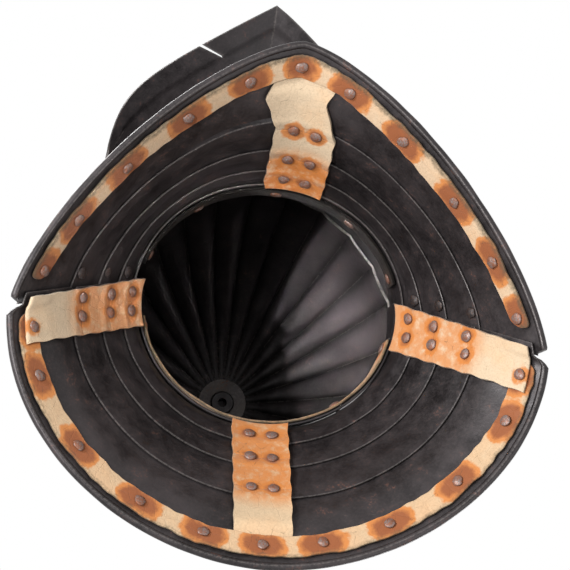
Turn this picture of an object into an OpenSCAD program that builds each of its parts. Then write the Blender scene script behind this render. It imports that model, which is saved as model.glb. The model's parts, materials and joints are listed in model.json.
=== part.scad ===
// Cuirassier's close helmet: fluted skull, pointed peak, visor, bevor and a laminated neck guard
// of four plates in front and four behind, lined at the rim with leather.
// X = 0 is the plane of symmetry, the face looks along -Y, the rolled rim stands on Z = 0.

/* [Skull] */
// Half width of the skull at the temples
skull_half_w = 98; // [95:0.5:101]
// Reach of the brow in front of the middle
skull_front = 105; // [101:0.5:108]
// Reach of the skull behind the middle
skull_back = 121; // [117:0.5:125]
// Height of the skull's widest line
equator_z = 209; // [206:0.5:212]
// Height of the skull's apex
apex_z = 314; // [308:0.5:320]
// Place of the apex behind the middle
apex_y = 18; // [14:0.5:22]
// Thickness of the skull
skull_t = 1.5; // [1.2:0.1:1.8]
// Number of flutes that run up to the apex
flutes = 28; // [24:2:32]
// Depth of a flute
flute_depth = 2.2; // [1:0.1:2.6]
// Height of the brow edge over the face opening
brow_z = 212; // [208:0.5:214]
// Place of the upright cheek edge of the face opening
cheek_y = -18; // [-22:0.5:-14]
// Radius of the face opening's upper corner
face_corner_r = 22; // [12:1:30]

/* [Neck] */
// Half width of the neck opening
neck_half_w = 74; // [71:0.5:77]
// Half length of the neck opening
neck_half_len = 68; // [65:0.5:71]
// Middle of the neck opening along Y
neck_y = -8; // [-11:0.5:-5]
// Height of the neck line
neck_z = 78; // [74:0.5:82]
// Height of the upright collar above the neck line
collar_h = 16; // [12:0.5:20]

/* [Neck guard] */
// Half width of the rim
rim_half_w = 142; // [136:0.5:148]
// Reach of the rim's front point
rim_front = 139.5; // [134:0.5:145]
// Reach of the rim's back point
rim_back = 139.5; // [134:0.5:145]
// Place of the rim's widest line along Y
rim_wide_y = 18; // [14:0.5:22]
// Thickness of a neck plate
lame_t = 1.1; // [0.9:0.1:1.3]
// Air between two overlapping neck plates
lame_gap = 0.5; // [0.4:0.1:0.8]
// Width of the overlap of two neck plates
lame_lap = 8.4; // [7:0.2:10]
// Width that shows of the neck plate at the collar
show_top = 17; // [15:0.5:19]
// Width that shows of the upper free plate
show_upper = 20; // [18:0.5:22]
// Width that shows of the lower free plate
show_lower = 25; // [23:0.5:27]
// Radius of the rolled rim
roll_r = 2.1; // [1.8:0.1:2.6]
// Drop of the front rim plate's upper edge where it has sprung away beside the strap
sprung_drop = 10.8; // [0:0.2:12]
// Distance that the front set lies outside the middle surface, and the back set inside it
set_step = 2; // [1.8:0.1:2.6]

/* [Leather] */
// Width of the leather band along the rim
band_w = 12.5; // [11:0.5:14]
// Thickness of the leather band
band_t = 1.6; // [1.2:0.1:2]
// Distance of the band from the rim's edge
band_inset = 5; // [4:0.5:7]
// Width of a leather strap
strap_w = 29; // [25:0.5:32]
// Distance that the front strap leans to the wearer's left at the neck
strap_lean = 7.8; // [0:0.2:9]
// Thickness of a leather strap
strap_t = 2; // [1.6:0.1:2.4]
// Thickness of the neck lining
lining_t = 1.4; // [1:0.1:1.8]
// Height of the neck lining
lining_h = 15; // [12:0.5:17]

/* [Rivets] */
// Radius of a rivet's shank
rivet_r = 1.5; // [1.2:0.1:1.7]
// Radius of a rivet's outer head
head_r = 3.3; // [2.8:0.1:3.8]
// Height of a rivet's outer head
head_h = 1.5; // [1.2:0.1:1.8]
// Radius of the washer on a rivet's inner end
rove_r = 3.3; // [2.8:0.1:3.6]
// Thickness of the washer on a rivet's inner end
rove_t = 0.8; // [0.6:0.1:1.2]

/* [Face] */
// Place of the temple pivots along Y
pivot_y = 5; // [3:0.5:8]
// Height of the temple pivots
pivot_z = 207; // [204:0.5:210]
// Radius of the temple bolt
bolt_r = 3; // [2.6:0.1:3.4]
// Thickness of visor, bevor and peak
face_t = 1.3; // [1.1:0.1:1.5]
// Air between the plates that turn on the temple bolts
face_gap = 0.7; // [0.5:0.1:0.9]
// Radius of a plate's round ear at the temple
ear_r = 15; // [13:0.5:17]
// Reach of the peak's point
peak_front = 207; // [200:1:214]
// Height of the peak's point
peak_tip_z = 172; // [166:1:178]
// Half width of the peak at its side corners
peak_half_w = 93; // [89:0.5:97]
// Reach of the peak's side corners
peak_corner = 112; // [106:1:118]
// Height of the peak's side corners
peak_corner_z = 192; // [188:1:196]
// Width of the peak's sunken border
peak_border = 13; // [10:0.5:16]
// Depth of the peak's sunken border
peak_sink = 0.8; // [0.4:0.1:1.2]
// Width of a sight
sight_w = 46; // [38:1:50]
// Height of a sight
sight_h = 6; // [5:0.5:8]
// Height of the sights' middle
sight_z = 186; // [182:0.5:190]

/* [Finial] */
// Radius of the rosette on the apex
rosette_r = 15; // [12:0.5:17]
// Radius of the washer under the apex
apex_washer_r = 15; // [12:0.5:18]
// Radius of the hollow in the stem's lower end
stem_hollow_r = 2.9; // [2.4:0.1:3.2]
// Radius of the ring to its wire's middle
ring_r = 12.5; // [11:0.5:14]
// Radius of the ring's wire
ring_wire_r = 1.3; // [1:0.1:1.5]

/* [Plume tube] */
// Inner radius of the plume tube
plume_r = 4; // [3:0.1:5]
// Wall of the plume tube
plume_wall = 1; // [0.8:0.1:1.4]
// Length of the plume tube
plume_len = 46; // [36:1:56]

/* [Hidden] */

skull_mid_y = (skull_back - skull_front) / 2;
skull_half_len = (skull_back + skull_front) / 2;
// Below this height the skull's wall is upright, inside the collar
skull_low_z = neck_z + collar_h + 1;
skull_foot_z = neck_z + 2;
seat = 0.3;
hole_play = 0.12;
turn_play = 0.35;
bolt_play = 0.08;
front_sharp = 1.408;
back_sharp = 1.05;
slant = norm([rim_half_w - neck_half_w, neck_z]);
lap = lame_lap / slant;
s_top = show_top / slant;
s_upper = s_top + show_upper / slant;
s_lower = s_upper + show_lower / slant;
half_pitch = (lame_t + lame_gap) / 2;
guard_cols = 26;
front_end = 88;
rear_end = 83;
pivot_u = 78.5;
strap_u = 91;
roll_end_front = 87;
roll_end_rear = 88.5;
band_end_front = 79;
band_end_rear = 92;
// Distances of the rim rivets from the medial line
front_rivet_x = rim_half_w * [0, 0.197, 0.4225, 0.641, 0.803, 0.9085];
rear_rivet_x = rim_half_w * [0, 0.2254, 0.4718, 0.7183, 0.8873];
rear_last_rivet_u = 96.5;

iron = [0.13, 0.12, 0.12];
worn = [0.32, 0.3, 0.29];
hide = [0.87, 0.77, 0.63];

// Small helpers
function lerp(a, b, k) = a + (b - a) * k;
function unit(v) = v / norm(v);
function clamp(v, lo, hi) = min(hi, max(lo, v));
function side(v, p) = (v < 0 ? -1 : 1) * pow(abs(v), p);
function spread(a, b, n) = [for (j = [0:n]) lerp(a, b, j / n)];
function ease(k) = 0.5 - 0.5 * cos(180 * clamp(k, 0, 1));
// Normal of a surface f(u, v) whose u runs from the face to the wearer's left and whose v runs down
function normal_at(f, u, v, dv) = unit(cross(f(u, v + dv) - f(u, v - dv), f(u + 1, v) - f(u - 1, v)));
function shifted(f, u, v, dv, d) = f(u, v) + d * normal_at(f, u, v, dv);

// A closed sheet between two grids of points, rows running down and columns towards the wearer's left
module plate(outer, inner, ring = false) {
    m = len(outer);
    n = len(outer[0]);
    last = ring ? n - 1 : n - 2;
    o = function(i, j) i * n + j % n;
    q = function(i, j) m * n + i * n + j % n;
    walls = [for (i = [0:m - 2]) for (j = [0:last]) each [
        [o(i, j), o(i, j + 1), o(i + 1, j + 1)],
        [o(i, j), o(i + 1, j + 1), o(i + 1, j)],
        [q(i, j), q(i + 1, j + 1), q(i, j + 1)],
        [q(i, j), q(i + 1, j), q(i + 1, j + 1)]]];
    long_edges = [for (j = [0:last]) each [
        [o(0, j + 1), o(0, j), q(0, j)],
        [o(0, j + 1), q(0, j), q(0, j + 1)],
        [o(m - 1, j), o(m - 1, j + 1), q(m - 1, j + 1)],
        [o(m - 1, j), q(m - 1, j + 1), q(m - 1, j)]]];
    ends = ring ? [] : [for (i = [0:m - 2]) each [
        [o(i, 0), o(i + 1, 0), q(i + 1, 0)],
        [o(i, 0), q(i + 1, 0), q(i, 0)],
        [o(i + 1, n - 1), o(i, n - 1), q(i, n - 1)],
        [o(i + 1, n - 1), q(i, n - 1), q(i + 1, n - 1)]]];
    points = concat([for (r = outer) for (p = r) p], [for (r = inner) for (p = r) p]);
    polyhedron(points, concat(walls, long_edges, ends), convexity = 8);
}

// Turn a piece that stands on +Z so that it stands on the surface at p, along n
module on(p, n) {
    translate(p)
        rotate([0, acos(n[2]), atan2(n[1], n[0])])
            children();
}

module both_sides() {
    children();
    mirror([1, 0, 0])
        children();
}

// Region drawn in side view, y to the right and z up, carried through the whole width
module side_view() {
    rotate([90, 0, 90])
        linear_extrude(4 * skull_half_w, center = true)
            children();
}

// Skull
function skull_plan(u) = [skull_half_w * sin(u), skull_mid_y - skull_half_len * cos(u)];
function skull_neck(u) = [(neck_half_w - lame_t - seat) * sin(u), neck_y - (neck_half_len - lame_t - seat) * cos(u)];
function skull_fall(z) = ease((equator_z - z) / (equator_z - skull_low_z));
function skull_side(u, z) = let (p = lerp(skull_plan(u), skull_neck(u), skull_fall(z))) [p[0], p[1], z];
function skull_dome(u, v) =
    let (d = skull_plan(u) - [0, apex_y])
    [d[0] * sin(90 * v), apex_y + d[1] * sin(90 * v), equator_z + (apex_z - equator_z) * cos(90 * v)];
// v runs from 0 at the apex to 1 at the widest line, to 2 above the collar and on to the foot
function nape_v(z) = 1 + (equator_z - z) / (equator_z - skull_low_z);
skull_pt = function(u, v) v <= 1 ? skull_dome(u, v) : skull_side(u, lerp(equator_z, skull_low_z, v - 1));
function flute_fade(v) = clamp((v - 0.05) / 0.3, 0, 1) * clamp((1.12 - v) / 0.3, 0, 1);
skull_rows = [0.04, 0.15, 0.3, 0.46, 0.62, 0.8, 1.0, 1.2, 1.38, 1.54, 1.74, 2, nape_v(skull_foot_z)];

module face_opening() {
    side_view() {
        translate([cheek_y - 200, 0])
            square([200, brow_z - face_corner_r]);
        translate([cheek_y - 200, 0])
            square([200 - face_corner_r, brow_z]);
        translate([cheek_y - face_corner_r, brow_z - face_corner_r])
            circle(face_corner_r, $fn = 64);
    }
}

module skull() {
    cols = [for (j = [0:2 * flutes - 1]) j];
    sink = function(j, v) flute_depth * flute_fade(v) * (j % 2);
    grid = function(extra) [for (v = skull_rows) [for (j = cols)
        shifted(skull_pt, 180 * j / flutes, v, 0.01, -sink(j, v) - extra)]];
    color(iron)
        difference() {
            plate(grid(0), grid(skull_t), ring = true);
            face_opening();
            temple_holes(skull_half_w + 10);
            for (u = collar_rivet_u)
                rivet_hole(collar_rivet_pt(u), collar_rivet_n(u));
            plume_rivet_places()
                cylinder(h = 16, r = rivet_r + hole_play, center = true, $fn = 24);
            on(bevor_hook_p, bevor_hook_n)
                cylinder(h = 16, r = rivet_r + hole_play, center = true, $fn = 24);
        }
}

module temple_holes(reach) {
    translate([0, pivot_y, pivot_z])
        rotate([0, 90, 0])
            cylinder(h = 2 * reach, r = bolt_r + bolt_play, center = true, $fn = 48);
}

// Rivets
module rivet_hole(p, n, play = hole_play) {
    on(p, n)
        cylinder(h = 24, r = rivet_r + play, center = true, $fn = 24);
}

// A round-headed rivet along +Z whose head seats on the surface at 0 and whose washer closes depth below it
module rivet(depth, play = seat) {
    rotate_extrude($fn = 32)
        polygon([[0, -depth - play - rove_t - 0.7], [rivet_r, -depth - play - rove_t - 0.7],
            [rivet_r + 0.4, -depth - play - rove_t - 0.3], [rivet_r + 0.4, -depth - play - rove_t],
            [rove_r, -depth - play - rove_t + 0.2], [rove_r, -depth - play], [rivet_r, -depth - play],
            [rivet_r, play], [head_r, play], [head_r * 0.88, play + head_h * 0.55],
            [head_r * 0.5, play + head_h * 0.93], [0, play + head_h]]);
}

// A rivet whose outer end lies flush in a countersink, so that the next plate can slide over it
module flush_rivet(depth, play = 0) {
    rotate_extrude($fn = 32)
        polygon([[0, -depth - seat - rove_t - 0.7], [rivet_r, -depth - seat - rove_t - 0.7],
            [rivet_r + 0.4, -depth - seat - rove_t - 0.3], [rivet_r + 0.4, -depth - seat - rove_t],
            [rove_r, -depth - seat - rove_t + 0.2], [rove_r, -depth - seat], [rivet_r, -depth - seat],
            [rivet_r, -0.8], [rivet_r + 0.7, -0.05], [0, -0.05]]);
}

module flush_hole(p, n) {
    on(p, n) {
        translate([0, 0, -12])
            cylinder(h = 24, r = rivet_r + hole_play, $fn = 24);
        translate([0, 0, -0.8])
            cylinder(h = 0.9, r1 = rivet_r + hole_play, r2 = rivet_r + 0.9 + hole_play, $fn = 24);
    }
}

// Neck guard: u is the angle from the face to the wearer's left, s runs from 0 at the neck to 1 at the rim
function neck_plan(u) = [neck_half_w * sin(u), neck_y - neck_half_len * cos(u)];
function rim_plan(u) = cos(u) > 0
    ? [rim_half_w * side(sin(u), front_sharp), rim_wide_y - (rim_front + rim_wide_y) * pow(cos(u), front_sharp)]
    : [rim_half_w * side(sin(u), back_sharp), rim_wide_y + (rim_back - rim_wide_y) * pow(-cos(u), back_sharp)];
function flare(u) = 0.1 + 0.25 * pow(max(0, cos(u)), 2);
guard = function(u, s)
    let (k = (1 - flare(u)) * s + flare(u) * pow(s, 4))
    let (p = lerp(neck_plan(u), rim_plan(u), k))
    [p[0], p[1], lerp(neck_z, roll_r, s)];
function guard_at(u, s, d) = shifted(guard, u, s, 0.01, d);
function guard_n(u, s) = normal_at(guard, u, s, 0.01);
// Length of the surface per unit of s near the rim, which turns a distance from the edge into s
function rim_slope(u) = norm(guard(u, 0.98) - guard(u, 0.88)) / 0.1;
function s_from_rim(u, d) = 1 - d / rim_slope(u);
// Angle at which the surface at s is x away from the medial line, searched by halving
function u_of_x(x, s, lo, hi, n = 14) =
    n == 0 ? (lo + hi) / 2
    : let (mid = (lo + hi) / 2) let (up = (guard(mid, s)[0] < x) == (lo < hi))
        up ? u_of_x(x, s, mid, hi, n - 1) : u_of_x(x, s, lo, mid, n - 1);
// The same for the back half, where x falls as u grows from 90 to 180
function back_u_of_x(x, s, lo = 90, hi = 180, n = 14) =
    n == 0 ? (lo + hi) / 2
    : let (mid = (lo + hi) / 2)
        guard(mid, s)[0] > x ? back_u_of_x(x, s, mid, hi, n - 1) : back_u_of_x(x, s, lo, mid, n - 1);

// Height of a plate over the middle surface: high in its upper overlap, low in its lower one
function lame_rise(s, top, bottom) =
    half_pitch * (1 - 2 * clamp((s - top - lap) / max(0.02, bottom - top - 2 * lap), 0, 1));

front_cols = spread(-front_end, front_end, guard_cols);
rear_cols = spread(rear_end, 360 - rear_end, guard_cols);
function from_front(u) = abs(u > 180 ? u - 360 : u);
// Upper corners are cut away past the side rivets, so that a plate can tilt on them
function corner_cut(u, front) = front
    ? lap * clamp((from_front(u) - pivot_u - 4) / 5, 0, 1)
    : lap * clamp((strap_u - 3 - from_front(u)) / 5, 0, 1);
function set_shift(front) = front ? set_step : -set_step;

module lame(top, bottom, front) {
    rows = [top, top + lap, (top + bottom) / 2, bottom - lap, bottom];
    cols = front ? front_cols : rear_cols;
    at = function(u, i, extra)
        let (s = max(rows[i], top + corner_cut(u, front)))
        guard_at(u, s + 0.0001 * i, lame_rise(rows[i], top, bottom) + set_shift(front) - extra);
    grid = function(extra) [for (i = [0:len(rows) - 1]) [for (u = cols) at(u, i, extra)]];
    plate(grid(0), grid(lame_t));
}

// Plate at the collar: an upright band that grips the skull or the bevor, then the first of the flare
module neck_lame(front) {
    cols = front ? front_cols : rear_cols;
    out = front ? set_step * 1.7 : 0;
    low = set_shift(front) - half_pitch;
    rise = function(s) lerp(out, low, clamp(s / lap, 0, 1));
    collar = function(u, z, extra)
        let (p = [(neck_half_w + out - extra) * sin(u), neck_y - (neck_half_len + out - extra) * cos(u)])
        [p[0], p[1], neck_z + z];
    grid = function(extra) concat(
        [for (z = [collar_h, collar_h / 2, 3]) [for (u = cols) collar(u, z, extra)]],
        [for (s = [0.02, lap / 2, lap, s_top]) [for (u = cols) guard_at(u, s, rise(s) - extra)]]);
    plate(grid(0), grid(lame_t));
}

// Rim plate: its lower edge is rolled, and the roll runs out before the plate's side ends
function roll_at(u, front) = front
    ? clamp((roll_end_front - from_front(u)) / 3, 0, 1)
    : clamp((from_front(u) - roll_end_rear) / 3, 0, 1);
roll_steps = [0.12, 0.34, 0.56, 0.78, 1];

// Rows of the rim plate down to the roll, and the height of its outer face at each
rim_top = s_lower - lap;
rim_rows = [rim_top, rim_top + lap, lerp(s_lower, 1, 0.3), lerp(s_lower, 1, 0.56), lerp(s_lower, 1, 0.8)];
function rim_last(u, front) = lerp(s_from_rim(u, 3 * roll_r), s_from_rim(u, 0), roll_at(u, front));
// On the wearer's right the front rim plate has sprung away from the plate above, from the strap to the cheek
function sprung(u, front) = !front || u > 12 || u < -60 ? 0
    : sprung_drop / slant * (u > -8 ? ease((12 - u) / 20) : ease((u + 60) / 34));
function rim_row(u, i, front) = i == 5 ? rim_last(u, front)
    : max(rim_top + corner_cut(u, front) + sprung(u, front), min(rim_rows[i], rim_last(u, front))) + 0.0001 * i;
// Over the roll the set's shift dies away, so that both rims stand on the same level
function rim_shift(u, s, front) = set_shift(front) * (1 - ease((s - 0.7) / 0.3) * roll_at(u, front));
function rim_rise(u, i, front) = rim_shift(u, rim_row(u, i, front), front)
    + (i < 2 ? half_pitch : i == 2 ? 0 : i == 5 ? lame_t / 2 : lame_t / 2 - half_pitch / 2);
function rim_face_at(u, s, front) = lookup(s, [for (i = [2:5]) [rim_row(u, i, front), rim_rise(u, i, front)]]);

module rim_lame(front) {
    cols = front
        ? [-front_end, 1 - roll_end_front, each spread(3 - roll_end_front, roll_end_front - 3, guard_cols - 2),
            roll_end_front - 1, front_end]
        : [rear_end, roll_end_rear - 1, each spread(roll_end_rear + 3, 357 - roll_end_rear, guard_cols - 2),
            361 - roll_end_rear, 360 - rear_end];
    sheet = function(extra) [for (i = [0:4]) [for (u = cols)
        guard_at(u, rim_row(u, i, front), rim_rise(u, i, front) - extra)]];
    wire = function(u) lerp(lame_t / 2 + 0.02, roll_r, roll_at(u, front));
    last = function(u) rim_row(u, 5, front);
    centre = function(u) guard_at(u, last(u), rim_rise(u, 5, front) - lame_t / 2);
    down = function(u) unit(guard(u, last(u) + 0.01) - guard(u, last(u) - 0.01));
    // Around the roll from the sheet's surface to the outermost point, on either side of the sheet
    arc = function(u, way) let (start = asin(lame_t / 2 / wire(u)) - 90)
        [for (k = roll_steps) let (a = lerp(start, 88, k))
            centre(u) + wire(u) * (way * cos(a) * guard_n(u, last(u)) + sin(a) * down(u))];
    outer_arcs = [for (u = cols) arc(u, 1)];
    inner_arcs = [for (u = cols) arc(u, -1)];
    turn = function(arcs) [for (k = [0:len(roll_steps) - 1]) [for (a = arcs) a[k]]];
    plate(concat(sheet(0), turn(outer_arcs)), concat(sheet(lame_t), turn(inner_arcs)));
}

// Leather bands along the rim, and their rivets
band_seat = 0.45;
rim_rivet_seat = 0.55;
function band_s(u) = s_from_rim(u, band_inset + band_w / 2);
function rim_mid(u, front, d) = guard_at(u, band_s(u), rim_face(u, front) - d);
function rim_face(u, front) = rim_face_at(u, band_s(u), front);

module rim_leather(front) {
    cols = front ? spread(-band_end_front, band_end_front, 32) : spread(band_end_rear, 360 - band_end_rear, 34);
    edge = function(u, d) s_from_rim(u, band_inset + d);
    grid = function(extra) [for (d = [band_w, band_w / 2, 0]) [for (u = cols)
        guard_at(u, edge(u, d), rim_face_at(u, edge(u, d), front) - lame_t - band_seat - extra)]];
    plate(grid(0), grid(band_t));
}

front_rivet_u = [for (x = front_rivet_x) each x == 0 ? [0] :
    let (u = u_of_x(x, 0.91, 0, 90)) [u, -u]];
rear_rivet_u = concat([for (x = rear_rivet_x) each x == 0 ? [180] :
    let (u = back_u_of_x(x, 0.91)) [u, 360 - u]], [rear_last_rivet_u, 360 - rear_last_rivet_u]);

module rim_rivet_places(front) {
    for (u = front ? front_rivet_u : rear_rivet_u)
        on(rim_mid(u, front, 0), guard_n(u, band_s(u)))
            children();
}

// Straps: the strap's face lies just inside the plates that it joins
strap_seat = 0.2;
strap_clear = half_pitch + lame_t + seat + strap_seat;
function strap_at(u, s, front, extra) = guard_at(u, s, set_shift(front) - strap_clear - extra);
strap_end = s_lower + 0.18;

// Distance of the centre straps' middle line from the medial line: the front one leans as it nears the neck
function strap_x(s, front) = front ? strap_lean * clamp((strap_end - s) / 0.2, 0, 1) : 0;
function medial_u(x, s, front) = x == 0 ? (front ? 0 : 180)
    : front ? sign(x) * u_of_x(abs(x), s, 0, 90) : 180 - sign(x) * (180 - back_u_of_x(abs(x), s));

module centre_strap(front) {
    rows = spread(0.03, strap_end, 7);
    u_at = function(x, s) medial_u(x + strap_x(s, front), s, front);
    xs = [for (k = [-2:2]) (front ? 1 : -1) * k * strap_w / 4];
    grid = function(extra) [for (s = rows) [for (x = xs) strap_at(u_at(x, s), s, front, extra)]];
    plate(grid(0), grid(strap_t));
}

// Angle at which the surface at s is d away from the side strap's middle line
function strap_side_u(s, d) = strap_u + d / norm(guard(strap_u + 0.5, s) - guard(strap_u - 0.5, s));

module side_strap(left) {
    rows = spread(0.03, strap_end, 7);
    turn = function(u) left ? u : 360 - u;
    ds = [for (k = [-2:2]) 0.1 + (left ? 1 : -1) * k / 4];
    grid = function(extra) [for (s = rows) [for (d = ds)
        strap_at(turn(strap_side_u(s, d * strap_w)), s, false, extra)]];
    plate(grid(0), grid(strap_t));
}

// Strap rivets sit just above each plate's lower edge
function edge_s(i) = (i == 0 ? s_top : i == 1 ? s_upper : s_lower) - lap * 0.42;
centre_half = 6.4;
function centre_u(i, k, front) = medial_u(k * centre_half + strap_x(edge_s(i), front), edge_s(i), front);
// Outer face of plate i at u and s
function face_rise(i, front) = set_shift(front) - half_pitch;

module centre_rivet_places(i, front) {
    for (k = [-1, 1]) {
        u = centre_u(i, k, front);
        on(guard_at(u, edge_s(i), face_rise(i, front)), guard_n(u, edge_s(i)))
            children();
    }
}

module side_rivet_places(i) {
    for (left = [true, false])
        for (d = [-0.14, 0.26]) {
            u = strap_side_u(edge_s(i), d * strap_w);
            t = left ? u : 360 - u;
            on(guard_at(t, edge_s(i), face_rise(i, false)), guard_n(t, edge_s(i)))
                children();
        }
}

module strap_holes(i, front) {
    centre_rivet_places(i, front)
        flush_hole([0, 0, 0], [0, 0, 1]);
    if (!front)
        side_rivet_places(i)
            flush_hole([0, 0, 0], [0, 0, 1]);
}

module strap_rivets(i, front) {
    color(worn) {
        centre_rivet_places(i, front)
            flush_rivet(strap_clear - half_pitch + strap_t + strap_seat);
        if (!front)
            side_rivet_places(i)
                flush_rivet(strap_clear - half_pitch + strap_t + strap_seat);
    }
}

module through_strap(front) {
    for (i = [0, 1, 2]) {
        centre_rivet_places(i, front)
            cylinder(h = 24, r = rivet_r + hole_play, center = true, $fn = 24);
        if (!front)
            side_rivet_places(i)
                cylinder(h = 24, r = rivet_r + hole_play, center = true, $fn = 24);
    }
}

// Side rivets join each front plate to the next: i is the upper one of the pair
function pair_s(i) = edge_s(i) + lap * 0.02;
module pair_places(i) {
    for (k = [-1, 1]) {
        u = k * pivot_u;
        on(guard_at(u, pair_s(i), set_step + half_pitch), guard_n(u, pair_s(i)))
            children();
    }
}
pair_play = 0.45;
module pair_rivets(i) {
    color(worn)
        pair_places(i)
            rivet(2 * lame_t + lame_gap, pair_play);
}
module pair_holes(i, play) {
    pair_places(i)
        cylinder(h = 16, r = rivet_r + play, center = true, $fn = 24);
}

module front_lame_3() {
    color(iron)
        difference() {
            lame(s_top - lap, s_upper, true);
            strap_holes(1, true);
            pair_holes(0, turn_play);
            pair_holes(1, hole_play);
        }
}

module front_lame_2() {
    color(iron)
        difference() {
            lame(s_upper - lap, s_lower, true);
            strap_holes(2, true);
            pair_holes(1, turn_play);
            pair_holes(2, hole_play);
        }
}

module front_rim_lame() {
    color(iron)
        difference() {
            rim_lame(true);
            rim_rivet_places(true)
                cylinder(h = 16, r = rivet_r + hole_play, center = true, $fn = 24);
            pair_holes(2, turn_play);
        }
}

module rear_lame_3() {
    color(iron)
        difference() {
            lame(s_top - lap, s_upper, false);
            strap_holes(1, false);
        }
}

module rear_lame_2() {
    color(iron)
        difference() {
            lame(s_upper - lap, s_lower, false);
            strap_holes(2, false);
        }
}

module rear_rim_lame() {
    color(iron)
        difference() {
            rim_lame(false);
            rim_rivet_places(false)
                cylinder(h = 16, r = rivet_r + hole_play, center = true, $fn = 24);
        }
}

module rim_leather_cut(front) {
    color(hide)
        difference() {
            rim_leather(front);
            rim_rivet_places(front)
                cylinder(h = 16, r = rivet_r + hole_play, center = true, $fn = 24);
        }
}
module front_rim_leather() {
    rim_leather_cut(true);
}
module rear_rim_leather() {
    rim_leather_cut(false);
}
module front_rim_rivets() {
    color(worn)
        rim_rivet_places(true)
            rivet(lame_t + band_seat + band_t + 0.15, rim_rivet_seat);
}
module rear_rim_rivets() {
    color(worn)
        rim_rivet_places(false)
            rivet(lame_t + band_seat + band_t + 0.15, rim_rivet_seat);
}

module front_centre_strap() {
    color(hide)
        difference() {
            centre_strap(true);
            through_strap(true);
        }
}
module rear_centre_strap() {
    color(hide)
        difference() {
            centre_strap(false);
            for (i = [0, 1, 2])
                centre_rivet_places(i, false)
                    cylinder(h = 24, r = rivet_r + hole_play, center = true, $fn = 24);
        }
}
module side_strap_cut(left) {
    color(hide)
        difference() {
            side_strap(left);
            for (i = [0, 1, 2])
                side_rivet_places(i)
                    cylinder(h = 24, r = rivet_r + hole_play, center = true, $fn = 24);
        }
}
module left_side_strap() {
    side_strap_cut(true);
}
module right_side_strap() {
    side_strap_cut(false);
}

module front_strap_rivets_neck() {
    strap_rivets(0, true);
}
module front_strap_rivets_3() {
    strap_rivets(1, true);
}
module front_strap_rivets_2() {
    strap_rivets(2, true);
}
module rear_strap_rivets_neck() {
    strap_rivets(0, false);
}
module rear_strap_rivets_3() {
    strap_rivets(1, false);
}
module rear_strap_rivets_2() {
    strap_rivets(2, false);
}
module side_rivets_neck() {
    pair_rivets(0);
}
module side_rivets_3() {
    pair_rivets(1);
}
module side_rivets_2() {
    pair_rivets(2);
}

// Collar: the back neck plate grips the skull's lower edge, with a leather lining inside
collar_mid = neck_z + collar_h * 0.62;
collar_rivet_u = [104, 142, 218, 256];
function collar_rivet_n(u) = unit([sin(u) / neck_half_w, -cos(u) / neck_half_len, 0]);
function collar_rivet_pt(u) = [neck_half_w * sin(u), neck_y - neck_half_len * cos(u), collar_mid];
lining_rise = 2;

module lining(grip, cols) {
    grid = function(extra) [for (z = [lining_h, lining_h / 2, 0]) [for (u = cols)
        [(grip[0] - extra) * sin(u), neck_y - (grip[1] - extra) * cos(u), neck_z + lining_rise + z]]];
    plate(grid(0), grid(lining_t));
}

module rear_neck_lining() {
    inset = lame_t + 2 * seat + skull_t + 0.5;
    color(hide)
        difference() {
            lining([neck_half_w - inset, neck_half_len - inset], spread(100, 260, 16));
            for (u = collar_rivet_u)
                rivet_hole(collar_rivet_pt(u), collar_rivet_n(u));
        }
}

module rear_neck_lame() {
    color(iron)
        difference() {
            neck_lame(false);
            for (u = collar_rivet_u)
                rivet_hole(collar_rivet_pt(u), collar_rivet_n(u));
            strap_holes(0, false);
        }
}

module collar_rivets() {
    color(worn)
        for (u = collar_rivet_u)
            on(collar_rivet_pt(u), collar_rivet_n(u))
                rivet(lame_t + 2 * seat + skull_t + 0.5 + lining_t);
}

// Face plates. In these surfaces v grows downwards, and the height is level - v
function skull_x(z) = z <= equator_z ? skull_side(90, z)[0]
    : skull_half_w * sqrt(1 - pow((z - equator_z) / (apex_z - equator_z), 2));
bevor_off = face_gap + face_t + 0.25;
visor_off = bevor_off + face_gap + face_t;
peak_off = visor_off + face_gap + face_t;
collar_off = set_step * 1.7;
collar_seat = collar_off - lame_t - seat;
level = 260;
// Reach of the chin in front of the middle, by height
chin = [[skull_low_z, neck_half_len + collar_seat - neck_y], [107, 91], [117, 100], [128, 106], [142, 109.5],
    [156, 110], [170, 108.5], [190, 107], [224, 106]];
visor_front = [[156, 114.5], [165, 116], [178, 117.5], [190, 117.5], [204, 115], [218, 110.5], [228, 107]];

bevor_face = function(u, v)
    let (z = level - v, w = ease((z - chin[0][0]) / 36))
    let (half = skull_x(z) + lerp(collar_seat + 1.4, bevor_off, ease((z - chin[0][0]) / 75)))
    let (mid = lerp(neck_y, skull_mid_y, w))
    let (reach = z < chin[0][0] ? chin[0][1] : lookup(z, chin))
    [half * side(sin(u), lerp(1, 1.1, w)), mid - (reach + mid) * cos(u), z];

visor_face = function(u, v)
    let (z = level - v)
    [(skull_x(z) + visor_off) * side(sin(u), 1.1), skull_mid_y - (lookup(z, visor_front) + skull_mid_y)
        * side(cos(u), 1.06), z];

module face_plate(f, zs, us) {
    grid = function(extra) [for (z = zs) [for (u = us) shifted(f, u, level - z, 0.5, -extra)]];
    plate(grid(0), grid(face_t));
}

module ear(r) {
    translate([pivot_y, pivot_z])
        circle(r, $fn = 64);
}

module bevor_mask() {
    r = ear_r + 2;
    polygon(concat([[-170, 60], [-170, 166], [-60, 171]],
        [for (a = [176:-8:-40]) [pivot_y + r * cos(a), pivot_z + r * sin(a)]],
        [[16, 150], [-2, 84], [-2, 60]]));
}

module visor_mask() {
    polygon([[-170, 157], [-55, 161], [pivot_y, pivot_z - ear_r], [pivot_y, pivot_z + ear_r],
        [-40, 223], [-170, 223]]);
    ear(ear_r);
}

// Small round air holes in the bevor, in rows on either cheek
breath_u = [-50, -42, -34, 34, 42, 50];
breath_z = [132, 141, 150];

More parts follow.
